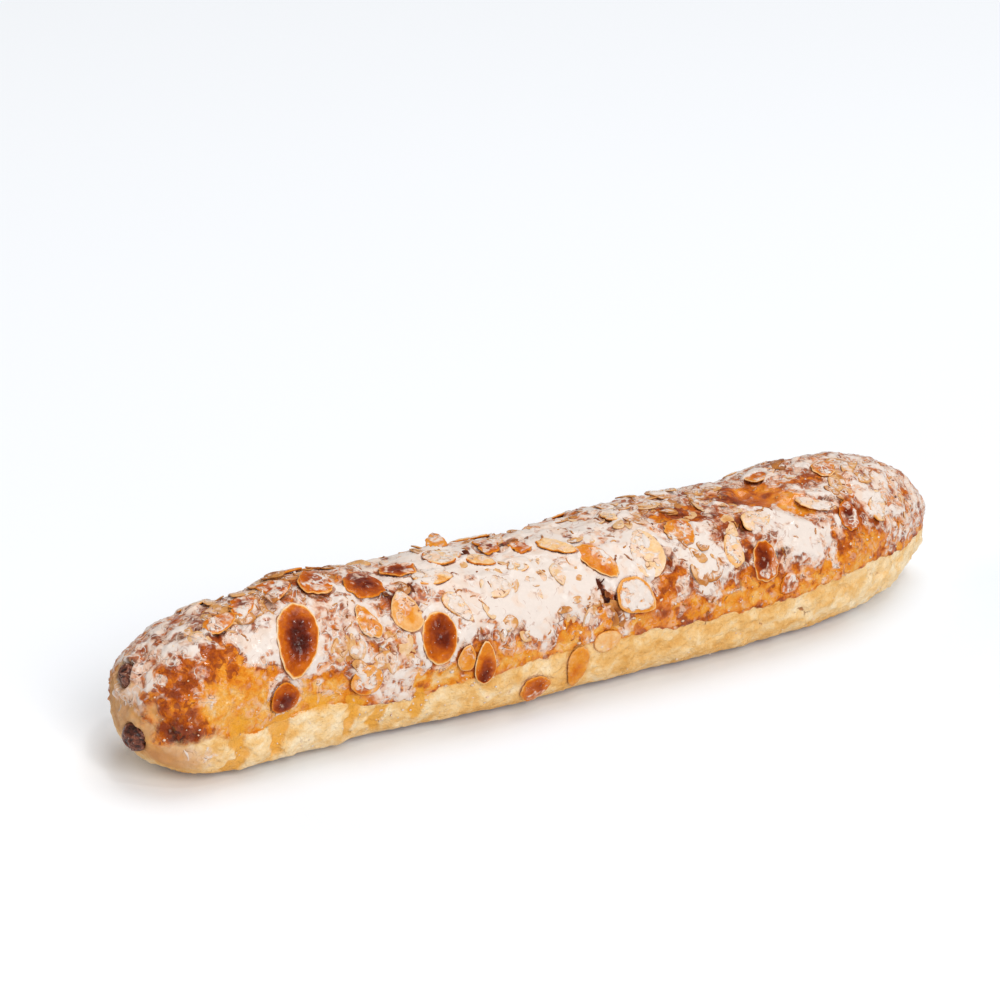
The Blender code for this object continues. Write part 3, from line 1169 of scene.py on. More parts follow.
@dataclass
class AlmondSeat:
    """Where one almond lies, and how large it is."""

    name: str
    station: float
    angle: float
    radius: float
    spin: float
    half_length: float
    half_width: float
    height: float

    @classmethod
    def from_node(cls, node: Piece, form: LoafForm) -> AlmondSeat:
        """Measures an almond's solid.

        Args:
            node: The solid.
            form: The loaf's form.

        Returns:
            Its seat, with its length running towards its narrow end.
        """
        points = node_points(node)
        centre = points.mean(axis=0)
        _, axes = np.linalg.eigh(np.cov((points - centre).T))
        along = axes[:, 2]
        run = (points - centre) @ along
        width = (points - centre) @ axes[:, 1]
        if np.abs(width[run > 0]).mean() > np.abs(width[run < 0]).mean():
            along = -along
            run = -run
        middle = centre + along * (run.max() + run.min()) / 2
        (station,), (angle,), (radius,) = form.places(middle[None])
        turn = math.radians(angle)
        upward = np.array([0.0, math.sin(turn), math.cos(turn)])
        lift = radius - form.reach(form.tree, station, angle)
        return cls(
            node.name,
            station,
            angle,
            radius,
            math.atan2(along @ upward, along[0]),
            (run.max() - run.min()) / 2,
            (width.max() - width.min()) / 2,
            lift,
        )

    def flat(self, form: LoafForm) -> tuple[Array, Array]:
        """Where the loaf's points lie in the almond's own measure.

        Args:
            form: The loaf's form.

        Returns:
            Distances in mm along it and across it.
        """
        run = form.station - self.station
        turn = (form.angle - self.angle + 180.0) % 360.0 - 180.0
        rise = np.radians(turn) * (form.radius + self.radius) / 2
        along = run * math.cos(self.spin) + rise * math.sin(self.spin)
        across = rise * math.cos(self.spin) - run * math.sin(self.spin)
        return along, across


# Rings from the top face over the edge to the underside, as shares of the outline.
FULL_EDGE = (0.955, 0.99, 1.0, 0.975, 0.90, 0.50)
PLAIN_EDGE = (0.96, 1.0, 0.95, 0.50)
TOP_EDGE = 0.9  # share of the outline where the even rings of the top face end
RIM_WAVES = (2, 3, 4, 6, 9, 13)  # waves round the outline that make it ragged
BREAK = (0.35, 0.80)  # how far out a broken flake ends, as shares


@dataclass
class Flake:
    """One flaked almond or a piece of one."""

    seat: AlmondSeat
    look: Look
    thickness: float = 1.0
    narrowing: float = NARROWING
    spacing: float = 0.45
    bend: float = 0.8
    tilt: Pair = (0.0, 0.0)
    breaks: int = 0
    seed: int = 0
    edge: tuple[float, ...] = FULL_EDGE

    def outline(self, turn: Array) -> tuple[Array, Array]:
        """The edge of the flake.

        Args:
            turn: Directions round it, in radians from its narrow end.

        Returns:
            Shares of its half length and half width.
        """
        rng = np.random.default_rng(self.seed)
        radius = np.full(len(turn), 1.0)
        for waves in RIM_WAVES:
            size = rng.normal() * self.look.ragged / waves**0.5
            radius += size * np.cos(waves * turn + rng.uniform(0, 2 * math.pi))
        for _ in range(self.breaks):
            facing = np.cos(turn - rng.uniform(0, 2 * math.pi))
            edge = rng.uniform(*BREAK) / np.maximum(facing, 0.05)
            radius = np.minimum(radius, edge)
        along = radius * np.cos(turn)
        narrowing = self.narrowing if self.look.narrowing is None else self.look.narrowing
        return along, radius * np.sin(turn) * (1.0 - narrowing * along)

    def build(self, form: LoafForm, heap: Heap) -> None:
        """Makes the flake and adds it to a heap.

        Args:
            form: The loaf's form.
            heap: The heap.
        """
        seat = self.seat
        look = self.look
        inner = max(2, round(seat.half_width / self.spacing))
        sides = max(12, round(5.2 * seat.half_length / self.spacing))
        edge_along, edge_across = self.outline(np.arange(sides) * 2 * math.pi / sides)
        over = self.edge.index(1.0)
        shares = np.concatenate([np.linspace(0, TOP_EDGE, inner + 1)[1:], self.edge])
        below = len(self.edge) - over - 1
        faced = np.concatenate([np.ones(inner + over), [0.0], -np.ones(below)])
        share = np.concatenate([[0.0], np.repeat(shares, sides), [0.0]])
        face = np.concatenate([[1.0], np.repeat(faced, sides), [-1.0]])
        along = np.concatenate([[0.0], (shares[:, None] * edge_along).ravel(), [0.0]])
        across = np.concatenate([[0.0], (shares[:, None] * edge_across).ravel(), [0.0]])
        flat = np.stack([along * seat.half_length, across * seat.half_width], 1)
        spot = np.concatenate([flat, np.full((len(flat), 1), 7.7 * self.seed)], 1)
        wave = Grain(2.2, self.seed % 97, 2).at(spot)
        broad = Grain(seat.half_length * 1.3, self.seed % 89).at(spot)
        icing = self._icing(along, across, share, wave)
        top = np.maximum(face, 0.0)
        height = face * 0.5 * self.thickness * np.sqrt(1 - share**8)
        height += top * (look.blister * wave * (1 - share**4) + 0.5 * np.clip(icing - 0.45, 0, 0.4))
        height += look.curl * share**3 * (0.7 + broad) + look.dome * (1 - share**2)
        height += self.tilt[0] * along + self.tilt[1] * across + look.lean * (along + 1) - look.sink
        height += look.roll * across
        bake = np.where(face > 0, self._bake(along, across, share, wave), look.wall)
        # The underside is browned 0.15 more than the wall: painted shade under the almond.
        bake = np.where(face < 0, look.wall + 0.15, bake)
        drawn = {"bake": bake, "icing": np.where(face <= 0, -1.0, icing)}
        heap.put(self._lay(flat, height, form), pod_faces(len(shares), sides), drawn)

    def _lay(self, flat: Array, height: Array, form: LoafForm) -> Array:
        """Bends the flake over the loaf.

        Args:
            flat: Its points along and across, in mm.
            height: Their heights.
            form: The loaf's form.

        Returns:
            Its points in space, in mm.
        """
        seat = self.seat
        turn = math.radians(seat.angle)
        centre, normal = form.seat(form.tree, seat.station, seat.angle)
        upward = Vector((0.0, math.sin(turn), math.cos(turn)))
        east = Vector((1.0, 0.0, 0.0))
        east = (east - normal * east.dot(normal)).normalized()
        upward = (upward - normal * upward.dot(normal)).normalized()
        points = []
        for (run, rise), up in zip(flat, height):
            step = run * math.cos(seat.spin) - rise * math.sin(seat.spin)
            climb = run * math.sin(seat.spin) + rise * math.cos(seat.spin)
            angle = seat.angle + math.degrees(climb / seat.radius)
            there, lean = form.seat(form.tree, seat.station + step, angle)
            plain = centre + east * step + upward * climb
            lean = (lean * self.bend + normal * (1 - self.bend)).normalized()
            points.append(there * self.bend + plain * (1 - self.bend) + lean * (up + seat.height))
        return np.array(points)

    def _bake(self, along: Array, across: Array, share: Array, wave: Array) -> Array:
        """How far each point is baked.

        Args:
            along: Places along, as shares.
            across: Places across, as shares.
            share: How near the edge.
            wave: Unevenness.

        Returns:
            0 for ivory, 1 for burnt.
        """
        look = self.look
        gap = np.hypot(along - look.core_along, across - look.core_across) / look.core_size
        bake = look.ring + (look.core - look.ring) * ease(1.15, 0.25, gap + 0.25 * wave)
        bake += (look.rim - bake) * ease(0.89, 0.97, share + 0.05 * wave)
        return bake + 0.04 * wave

    def _icing(self, along: Array, across: Array, share: Array, wave: Array) -> Array:
        """How much icing lies at each point.

        Args:
            along: Places along, as shares.
            across: Places across, as shares.
            share: How near the edge.
            wave: Unevenness.

        Returns:
            The cover, with its edge at 0.5.
        """
        look = self.look
        lean = look.icing_along * along + look.icing_across * across
        return look.icing + 0.5 * lean + 0.28 * wave - look.bare_rim * ease(0.74, 0.98, share)


# ---------------------------------------------------------------- the crust


@dataclass(frozen=True)
class Patch:
    """An irregular patch of the crust, strongest at its middle."""

    station: float
    angle: float
    reach: float
    reach_angle: float
    amount: float

    def over(self, station: Array, angle: Array) -> Array:
        """How strong the patch is at each place.

        Args:
            station: Stations.
            angle: Angles.

        Returns:
            The amount at its middle, falling to 0 round it.
        """
        turn = (angle - self.angle + 180.0) % 360.0 - 180.0
        gap = ((station - self.station) / self.reach) ** 2 + (turn / self.reach_angle) ** 2
        return self.amount * np.exp(-(gap**1.4))


Patches = tuple[Patch, ...]


def as_patches(*rows: tuple[float, ...]) -> Patches:
    """Makes a patch of each row: its station, angle, reach, reach_angle and amount."""
    return tuple(Patch(*row) for row in rows)


def spread(patches: Patches, station: Array, angle: Array) -> Array:
    """Adds up several patches.

    Args:
        patches: The patches.
        station: Stations.
        angle: Angles.

    Returns:
        Their sum at each place.
    """
    return sum(patch.over(station, angle) for patch in patches)


@dataclass(frozen=True)
class Ridge:
    """A raised edge or, with a negative height, a crack that runs through several places."""

    places: tuple[Pair, ...]
    width: float
    height: float
    icing: float = 0.0
    # Near black painted into the crack: painted shade.
    scorch: float = 0.0
    brown: float = 0.0

    def over(self, form: LoafForm, wander: Array) -> Array:
        """How near the line each point is.

        Args:
            form: The loaf's form.
            wander: Unevenness at each point.

        Returns:
            1 on the line, falling to 0 a width away.
        """
        best = np.full(len(form.station), np.inf)
        climb = math.pi / 180 * MEAN_RADIUS
        x = form.station
        y = form.angle * climb
        for (x0, a0), (x1, a1) in zip(self.places, self.places[1:]):
            run = x1 - x0
            rise = (a1 - a0) * climb
            share = ((x - x0) * run + (y - a0 * climb) * rise) / (run * run + rise * rise)
            share = np.clip(share, 0.0, 1.0)
            gap = np.hypot(x - x0 - share * run, y - a0 * climb - share * rise)
            best = np.minimum(best, gap)
        return np.exp(-((np.maximum(best + wander, 0.0) / self.width) ** 2))


@dataclass
class Crust:
    """The loaf's crust, with the icing that covers it.

    Heights are in mm. Browning and icing are mostly between 0 and 1, and the icing's edge is at
    about 0.5.
    """

    form: LoafForm
    seats: list[AlmondSeat]
    raisin_centres: list[Array]
    browning: float = 0.36
    foot_line: float = 0.12  # browning just above the pale foot
    iced_browning: float = 0.16
    lump: float = 0.74
    blister: float = 0.42
    pebble: float = 0.15
    icing_depth: float = 0.58
    ledge: float = 0.80
    crumb: float = 0.50
    knob: float = 0.65
    block: float = 0.75
    toast: float = 0.21
    streak: float = 0.20
    collar_reach: float = 1.1
    pit_depth: float = 0.45
    # How dark each pit is painted: painted shade.
    pit_shade: float = 0.62
    pit_scale: float = 0.42  # mm for each degree round the loaf
    raisin_hollow: float = 1.5
    snug: tuple[Pair, ...] = ((0.5, 5.4), (2.0, 4.7))

    # Station and angle of the icing's lower edge on the front, and of the foot's upper edge.
    icing_edge: tuple[Pair, ...] = (
        (-150, 66), (-145, 60), (-135, 56), (-125, 50), (-120, 46), (-110, 36), (-100, 22),
        (-95, 18), (-90, 16), (-85, 10), (-80, -1), (-75, -6), (-70, -10), (-65, -8),
        (-57, 14), (-52, 10), (-45, 22), (-40, 24), (-35, 18), (-30, 16), (-25, 9), (-20, 8),
        (-10, 18), (0, 22), (5, 19), (10, 11), (15, 10), (20, 19), (30, 12), (35, 17),
        (40, 11), (45, 10), (50, 15), (55, 22), (60, 25), (65, 28), (70, 19), (75, 22),
        (80, 11), (90, 8), (95, 10), (100, 26), (105, 29), (110, 24), (115, 10), (125, 5),
        (150, 8),
    )
    foot_edge: tuple[Pair, ...] = (
        (-152, -14), (-145, -15), (-141, -10), (-136, -9), (-131, -3), (-127, -5), (-123, -13),
        (-121, -10), (-116, -14), (-111, -13), (-107, -10), (-103, -8), (-97, -7), (-92, -7),
        (-86, -10), (-83, -13), (-75, -14), (-67, -16), (-61, -12), (-58, -14), (-54, -9),
        (-50, -8), (-40, -6), (-30, -4), (-20, -2), (-10, -1), (0, -1), (20, -2), (40, -3),
        (60, -3), (80, -1), (100, 1), (110, 4), (118, 0), (126, -4), (150, -6),
    )
    thick: Patches = as_patches(
        (-32, 52, 17, 30, 0.34), (-8, 40, 20, 26, 0.30), (18, 60, 16, 30, 0.22),
        (41, 36, 5.5, 22, 0.52), (-43, 98, 14, 30, 0.40), (-15, 70, 14, 30, 0.26),
        (-114.5, 54, 8, 17, 0.37), (-80, 74, 6, 16, 0.15), (-60, 40, 5, 14, 0.16),
        (82, 34, 9, 14, 0.20), (76, 62, 4, 12, 0.20), (112, 44, 8, 12, 0.12),
        (132, 60, 12, 40, 0.06), (8, 92, 16, 22, 0.18), (-20, 22, 4, 9, 0.30),
        (-66, -12, 3, 6, 0.50), (-64, 8, 5, 12, 0.20),
    )
    bare: Patches = as_patches(
        (-122, 54, 6, 16, 0.62), (-139, 25, 9, 30, 0.30), (-62, 60, 6, 9, 0.55),
        (-50, 78, 4, 6, 0.30), (-17, 90, 9, 8, 0.45), (22.5, 11, 4.5, 12, 0.50),
        (28, 34, 6, 13, 0.42), (45, 76, 10, 11, 0.50), (56, 55, 7, 9, 0.50), (72, 82, 11, 17, 0.90),
        (85, 62, 5, 9, 0.75), (62, 26, 7, 16, 0.50), (90, 46, 4, 8, 0.24), (79, 46, 2.5, 9, 0.26),
        (95, 30, 5, 8, 0.22), (28, 84, 24, 14, 0.12), (-20, 72, 5, 7, 0.26), (-6, 60, 4, 6, 0.24),
        (14, 74, 5, 6, 0.26), (-38, 62, 3, 7, 0.22), (-55, 0, 6, 9, 0.22), (103, 44, 5, 12, 0.45),
        (106, 16, 9, 16, 0.55), (97, 78, 8, 9, 0.35), (4.5, 30, 2.2, 12, 0.40),
        (-30, 14, 4, 10, 0.25), (-88, 72, 6, 8, 0.20), (-84, 92, 12, 10, 0.20),
        (-75, 30, 14, 18, 0.12), (-108, 88, 30, 28, 0.08),
    )
    browner: Patches = as_patches(
        (-140, 18, 7, 26, 0.23), (-139, 0, 6, 12, 0.40), (-140, 42, 5, 12, 0.16),
        (-130, 44, 8, 14, 0.20), (-116, 90, 28, 26, 0.20), (-122, 58, 5, 10, 0.16),
        (-129, 72, 8, 14, 0.14), (-106, 22, 5, 10, 0.10), (-62, 62, 6, 9, 0.30),
        (-16, 90, 9, 8, 0.22), (22, 10, 5, 10, 0.12), (30, 36, 6, 12, 0.22), (46, 76, 10, 11, 0.26),
        (56, 54, 7, 8, 0.32), (67, 82, 6, 12, 0.36), (77, 79, 6, 10, 0.16), (47, 92, 20, 10, 0.10),
        (64, 30, 7, 12, 0.30), (76, 10, 5, 8, 0.10), (104, 43, 4, 8, 0.34), (108, 14, 8, 12, 0.02),
        (-10, 12, 8, 8, 0.10), (128, 50, 14, 40, -0.10), (95, 88, 8, 10, 0.16),
        (0, 215, 90, 16, 0.14),
    )
    paler: Patches = as_patches(
        (-108, 4, 22, 24, 0.15), (-129, 22, 4.5, 14, 0.16), (-55, -2, 10, 9, 0.20),
        (-50, 2, 90, 8, 0.06), (-8, 5, 26, 9, 0.13), (72, 8, 34, 10, 0.15),
    )
    washes: tuple[tuple[float, float, float, float], ...] = (
        (-121.5, 0, -31, 2.0),
        (-123.0, -33, -46, 2.6),
        (-108.5, -4, -36, 2.3),
        (-84.5, -8, -38, 1.9),
        (-75.0, -20, -40, 1.8),
        (-62.0, -10, -33, 1.7),
        (-96.0, 0, -8, 3.0),
    )
    veils: Patches = as_patches(
        (-134, -20, 9, 11, 0.21), (-131, 26, 3.5, 14, 0.21), (-137, 12, 3, 8, 0.12),
        (-145, 84, 6, 40, 0.32), (-143.5, 54, 3.5, 16, 0.40), (-146, 26, 4, 12, 0.06),
        (-149, 60, 3, 20, 0.30),
    )
    nose: Pair = (-142.5, -151.5)
    tans: Patches = as_patches(
        (-141, -26, 9, 16, 0.84), (-148, 180, 9, 60, 0.6), (-148, -50, 6, 30, 0.5),
        (149, 40, 3, 90, 0.3),
    )
    glosses: Patches = as_patches(
        (75, 79, 11, 16, 1.0), (86, 60, 5, 9, 1.0), (-60, 50, 5, 8, 0.6), (24, 10, 4, 9, 0.6),
    )
    dents: Patches = as_patches(
        (73, 80, 10, 15, -1.7), (85, 60, 4, 8, -0.8), (-62, 62, 6, 8, -0.8), (-122, 56, 4, 9, -0.5),
        (47, 76, 7, 8, -0.6), (22, 10, 4, 8, -0.4),
    )
    pits: tuple[tuple[float, float, float], ...] = (
        (-146.4, 78, 0.50), (-145.0, 90, 0.42), (-143.4, 76, 0.60), (-142.6, 66, 0.45),
        (-145.0, 66, 0.55), (-141.0, 80, 0.42), (-141.4, 58, 0.50), (-146.2, 60, 0.40),
        (-139.0, 70, 0.36), (-147.6, 20, 0.50), (118, 36, 0.5), (126, 48, 0.6), (121, 62, 0.5),
        (131, 40, 0.5), (129, 66, 0.6), (135, 54, 0.5), (115, 70, 0.5), (124, 26, 0.5),
    )
    ridges: tuple[Ridge, ...] = (
        Ridge(((58, 78), (66, 72), (74, 58), (80, 44), (84, 40)), 1.5, 0.9, 0.40),
        Ridge(((86, 68), (92, 60), (99, 55), (106, 46)), 1.3, 1.0, 0.34),
        Ridge(((88, 62), (95, 54), (102, 49)), 1.0, -0.7, -0.3, 0.25),
        Ridge(((3.5, 40), (4.2, 33), (4.6, 26), (6.2, 20)), 1.0, -0.8, -0.5, 0.9),
        Ridge(((4.6, 27), (7.4, 23), (7.8, 27)), 0.8, -0.6, -0.5, 0.8),
        Ridge(((40, 2), (40.6, -3), (39.8, -7)), 0.55, -0.9, brown=1.0),
        Ridge(((76, -12), (79, -14), (81, -19), (84, -18)), 0.60, -0.9, brown=0.72),
        Ridge(((94, -8), (98, -13), (99, -20)), 0.9, -0.9, brown=0.42),
        Ridge(((60, -14), (64, -19), (68, -18)), 0.9, -0.8, brown=0.42),
        Ridge(((108, -6), (112, -12), (118, -12)), 0.9, -0.9, brown=0.42),
        Ridge(((12, -12), (15, -16), (15, -22)), 0.8, -0.7, brown=0.42),
        Ridge(((-31, -14), (-29, -19), (-30, -24)), 0.8, -0.7, brown=0.42),
        Ridge(((-128, 66), (-122, 58), (-119, 66)), 1.0, 0.5, 0.35),
        Ridge(((-46, 30), (-38, 36), (-30, 33)), 0.8, 0.35, 0.1),
        Ridge(((-22, 50), (-14, 46), (-6, 52), (0, 47)), 0.8, 0.4, 0.05),
        Ridge(((30, 70), (40, 66), (48, 58), (51, 50)), 1.1, 0.6, 0.2),
        Ridge(((-112, 40), (-110, 30), (-112, 22)), 0.8, -0.5, -0.25, 0.15),
    )

    def build(self) -> Piece:
        """Makes the crust.

        Returns:
            The crust.
        """
        form = self.form
        places = form.points
        wander = 2.4 * Grain(7.0, 3, 2).at(places)
        slope = 5.0 * Grain(6.0, 4, 2).at(places)
        station = form.station + wander
        angle = form.angle + slope
        coarse = Grain(11.0, 5, 2).at(places)
        ripple = Grain(3.4, 6, 2).at(places)
        pebble = Grain(1.5, 7).at(places)
        nose = ease(*self.nose, station + 1.4 * ripple + 2.2 * coarse)
        foot = np.maximum(self._foot(station, form.angle + 0.5 * slope, ripple), nose)
        icing = self._icing(station, angle, coarse, ripple)
        bake = self.browning + 0.07 * coarse + 0.10 * ripple
        bake += spread(self.browner, station, angle)
        bake -= spread(self.paler, station, angle)
        bake += self.foot_line * np.exp(-(((foot - 0.28) / 0.16) ** 2))
        bake += self.iced_browning * ease(0.05, 0.35, icing)
        bake += self.toast * ease(0.12, 0.42, Grain(5.2, 11, 2).at(places)) * ease(-95, -70, station)
        wash = self._wash(station, form.angle + 0.3 * slope, ripple)
        icing, rise, scorch, crack = self._marks(icing, ripple)
        cover = ease(0.40, 0.62, icing)
        cover *= 1 - ease(0.3, 0.7, foot)
        icing = icing - 0.9 * ease(0.35, 0.65, foot)
        veil = spread(self.veils, station, angle)
        icing = np.maximum(icing, veil - 0.4 * foot * ease(0.05, 0.0, veil))
        gloss = np.minimum(spread(self.glosses, station, angle), 1.0)
        rise += self.lump * coarse + self.blister * ripple * (1.1 - 0.25 * cover) * (1 - 0.6 * gloss)
        rise += self.pebble * pebble * (1.1 - 0.8 * cover)
        crumbly = foot * (1 - 0.8 * ease(-134, -144, station))
        rise += self.crumb * crumbly * np.abs(Grain(2.4, 8, 2).at(places)) - 0.4 * wash
        rise += self.knob * foot * ease(-20, 60, station) * Grain(5.5, 12, 2).at(places)
        rise += spread(self.dents, station, angle)
        proud = ease(-126, -121, form.station) * ease(-80, -86, form.station)
        blended = ease(22, 4, station) * ease(-72, -60, station)
        rise += self.ledge * (1 - ease(0.25, 0.75, foot)) * (1 - proud) * (1 - 0.55 * blended)
        rise += self.block * ease(0.40, 0.60, foot) * proud * (1 - wash)
        rise += self.icing_depth * cover
        rise, bake, icing, seam = self._settle_almonds(rise, bake, icing, ripple)
        rise, bake, icing = self._settle_raisins(rise, bake, icing, ripple)
        # Browner within about 2.6 mm of the floor: tray browning, with painted contact shade.
        tray = ease(2.6, 0.3, places[:, 2])
        soft = np.maximum(ease(-116, -126, station), 0.7 * blended)
        tan = np.maximum(spread(self.tans, station, angle), 0.9 * nose)
        floury = 0.19 * ease(60, 125, station) - 0.08 * ease(-60, -30, station) + 0.05 * proud
        calm = ease(0.4, 5.0, places[:, 2])
        points = places + form.outward * (rise * calm)[:, None]
        points[:, 2] = np.maximum(points[:, 2], 0.0)
        self.tree = node_tree(points, form.faces)
        self.icing = icing
        drawn = {
            "icing": icing, "bake": bake, "foot": foot, "wash": wash, "scorch": scorch,
            "seam": np.maximum(seam, crack), "tray": tray, "soft": soft, "tan": tan, "gloss": gloss,
            "floury": floury,
        }
        piece = write_mesh("crust", points, form.faces, drawn, CrustFinish().make())
        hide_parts("loaf")
        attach(piece, "root")
        return piece

    def _marks(self, icing: Array, ripple: Array) -> tuple[Array, ...]:
        """Adds the ridges, the cracks and the pits.

        Args:
            icing: Icing at each point.
            ripple: Unevenness.

        Returns:
            The new icing, the heights, the painted shade of pits and cracks, and the cracks' brown.
        """
        form = self.form
        rise = np.zeros(len(icing))
        scorch = np.zeros(len(icing))
        crack = np.zeros(len(icing))
        for ridge in self.ridges:
            near = ridge.over(form, 0.4 * ripple)
            icing = icing + ridge.icing * near
            scorch += ridge.scorch * near
            crack = np.maximum(crack, ridge.brown * near)
            rise += ridge.height * near
        # Each pit is a dent, painted near black as painted shade.
        for pit_station, pit_angle, size in self.pits:
            climb = (form.angle - pit_angle) * self.pit_scale
            gap = np.hypot(form.station - pit_station, climb)
            pit = np.exp(-((gap / size) ** 4))
            scorch = np.maximum(scorch, self.pit_shade * pit)
            rise -= self.pit_depth * pit
        return icing, rise, scorch, crack

    def _foot(self, station: Array, angle: Array, ripple: Array) -> Array:
        """The pale band of dough along the foot.

        Args:
            station: Stations.
            angle: Angles.
            ripple: Unevenness.

        Returns:
            0 above it, 1 in it, 0.5 at its edge.
        """
        stops = np.array(self.foot_edge, float)
        edge = np.interp(station, stops[:, 0], stops[:, 1])
        back = np.interp(-station, stops[:, 0], stops[:, 1]) * 0.6 - 3.0
        blur = 3.2 + 8.0 * ease(-118, -130, station)
        front = ease(blur, -blur, angle - edge + 1.1 * ripple)
        behind = ease(3.2, -3.2, 180.0 - angle - back + 2.0 * ripple)
        return np.maximum(front, behind)

    def _icing(self, station: Array, angle: Array, coarse: Array, ripple: Array) -> Array:
        """Where the icing lies.

        Args:
            station: Stations.
            angle: Angles.
            coarse: Broad unevenness.
            ripple: Fine unevenness.

        Returns:
            The cover, with its edge at 0.5.
        """
        stops = np.array(self.icing_edge, float)
        front = angle - np.interp(station, stops[:, 0], stops[:, 1])
        back = 178.0 - np.interp(-station * 0.9, stops[:, 0], stops[:, 1]) - angle
        inside = np.minimum(front, back)
        cover = 0.45 * ease(-10.0, 10.0, inside) + 0.10 * coarse + 0.12 * ripple
        slope = np.stack([station, 0.13 * angle, 0.0 * angle], 1)
        cover += self.streak * Grain(2.8, 13, 2).at(slope) * ease(75.0, 40.0, angle)
        cover += spread(self.thick, station, angle)
        cover -= spread(self.bare, station, angle)
        return cover

    def _wash(self, station: Array, angle: Array, ripple: Array) -> Array:
        """Runs of egg wash down over the foot.

        Args:
            station: Stations.
            angle: Angles.
            ripple: Unevenness.

        Returns:
            1 in a run, 0 away from it.
        """
        wash = np.zeros(len(station))
        for middle, top, low, width in self.washes:
            side = np.abs(station - middle) + 0.9 * ripple
            side = side * (1.0 - 0.25 * ease(low, top + 2, angle))
            run = ease(width * 1.25, width * 0.75, side)
            run = run * ease(low - 4, low + 3, angle) * ease(top + 6, top + 2, angle)
            wash = np.maximum(wash, run)
        return wash

    def _settle_almonds(
        self, rise: Array, bake: Array, icing: Array, ripple: Array
    ) -> tuple[Array, Array, Array, Array]:
        """Beds each almond: low under it, with icing drawn up to its rim and here and there over it.

        Args:
            rise: Height at each point.
            bake: Browning at each point.
            icing: Icing at each point.
            ripple: Unevenness.

        Returns:
            The new heights, browning and icing, and the brown seams along the almonds.
        """
        seam = np.zeros(len(rise))
        broken = Grain(6.0, 9).at(self.form.points)
        for number, seat in enumerate(self.seats):
            look = look_of(seat.name)
            if not look.bedded:
                continue
            along, across = seat.flat(self.form)
            share = along / seat.half_length
            narrowing = NARROWING if look.narrowing is None else look.narrowing
            width = seat.half_width * (1 - narrowing * np.clip(share, -1, 1))
            gap = (np.hypot(share, across / width) - 1) * (seat.half_length + seat.half_width) / 2
            wet = ease(0.25, 0.55, icing)
            brim = seat.height * (0.1 + 0.75 * wet) + (0.15 + 0.45 * ripple) * wet
            collar = np.exp(-np.clip(gap, 0, None) / self.collar_reach) * (gap < 6.0)
            rise = rise + np.maximum(brim - rise, 0.0) * collar
            under = ease(-0.1, -1.3, gap)
            flow = Grain(5.5, 200 + number).at(self.form.points) + 0.25 * ripple
            much = look.icing if look.flow is None else look.flow
            over = ease(0.02, 0.30, flow + much - 0.42) * ease(0.02, 0.14, much * wet)
            over *= ease(1.5, -0.5, gap)
            top = seat.height + 0.85 - look.sink
            rise = rise * (1 - under) - 0.1 * under
            rise = rise + np.maximum(top - rise, 0.0) * over
            ring = look.halo * np.exp(-(((gap - 0.8) / 1.3) ** 2)) * ease(-0.6, 0.4, broken + 0.4)
            icing = icing + 0.10 * collar * wet + np.maximum(0.66 - icing, 0.0) * over + ring
            rise = rise + 0.5 * ring
            bake = bake + 0.16 * collar * (1 - wet)
            line = ease(0.60, 0.25, np.abs(gap + 0.05)) * ease(-0.25, 0.25, broken) * (1 - over)
            seam = np.maximum(seam, line * ease(0.05, 0.30, icing))
        return rise - 0.15 * seam, bake, icing, seam

    def level(self, station: float, angle: float) -> Pair:
        """Finds how high the crust stands over the smooth form, and how iced it is.

        Args:
            station: Station.
            angle: Angle.

        Returns:
            The height in mm, and the icing.
        """
        form = self.form
        height = form.reach(self.tree, station, angle) - form.reach(form.tree, station, angle)
        spot, _ = form.seat(form.tree, station, angle)
        face = form.tree.find_nearest(spot)[2]
        return height, float(self.icing[form.faces[face][0]])

    def _settle_raisins(
        self, rise: Array, bake: Array, icing: Array, ripple: Array
    ) -> tuple[Array, Array, Array]:
        """Opens a hollow round each raisin and paints the crust in it darker as painted shade.

        Args:
            rise: Height at each point.
            bake: Browning at each point.
            icing: Icing at each point.
            ripple: Unevenness.

        Returns:
            The new heights, browning with painted shade round the raisins, and icing.
        """
        for centre, (height, reach) in zip(self.raisin_centres, self.snug):
            gap = np.linalg.norm(self.form.points - centre, axis=1) + 0.4 * ripple
            rise = rise - self.raisin_hollow * ease(reach - 0.5, reach - 2.2, gap)
            rise = rise + height * np.exp(-(((gap - reach) / 1.3) ** 2))
            # Painted shade: the crust in the crevice round each raisin is browned darker.
            bake = bake + 0.4 * ease(4.9, 4.0, gap)
        return rise, bake, icing


# ---------------------------------------------------------------- toppings


@dataclass
class Almonds:
    """The flaked almonds that the frame holds."""

    form: LoafForm
    seats: list[AlmondSeat]

    def build(self) -> list[Piece]:
        """Makes the almonds, one piece for each tone.

        Returns:
            The pieces.
        """
        pieces = []
        material = AlmondFinish().make()
        for tone in Tone:
            heap = Heap()
            mine = [seat for seat in self.seats if tone.value in seat.name]
            for number, seat in enumerate(mine):
                look = look_of(seat.name)
                seed = 100 * (list(Tone).index(tone) + 1) + number
                Flake(seat, look, seed=seed).build(self.form, heap)
            piece = heap.write(f"{tone.value}_almonds", material, f"almond_{tone.value}")
            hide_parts(*(seat.name for seat in mine))
            pieces.append(piece)
        return pieces


@dataclass(frozen=True)
class Scatter:
    """A group of small things that lie round a place on the crust.

    Size is their length in mm, bake their browning, and proud how high they stand, in mm. Tip is
    how far an almond leans, in mm, and icing how iced they are, where that isn't the crust's own.
    """

    station: float
    angle: float
    reach: float
    reach_angle: float
    count: int
    size: Pair = (5.0, 10.0)
    bake: Pair = (0.10, 0.35)
    proud: Pair = (-0.45, 0.15)
    tip: float = 0.8
    icing: float | None = None

    def place(self, rng: Chance) -> Pair:
        """Draws a place in the group.

        Args:
            rng: Where its chances come from.

        Returns:
            Station and angle.
        """
        station = self.station + self.reach * rng.uniform(-1, 1)
        angle = self.angle + self.reach_angle * rng.uniform(-1, 1)
        return station, angle


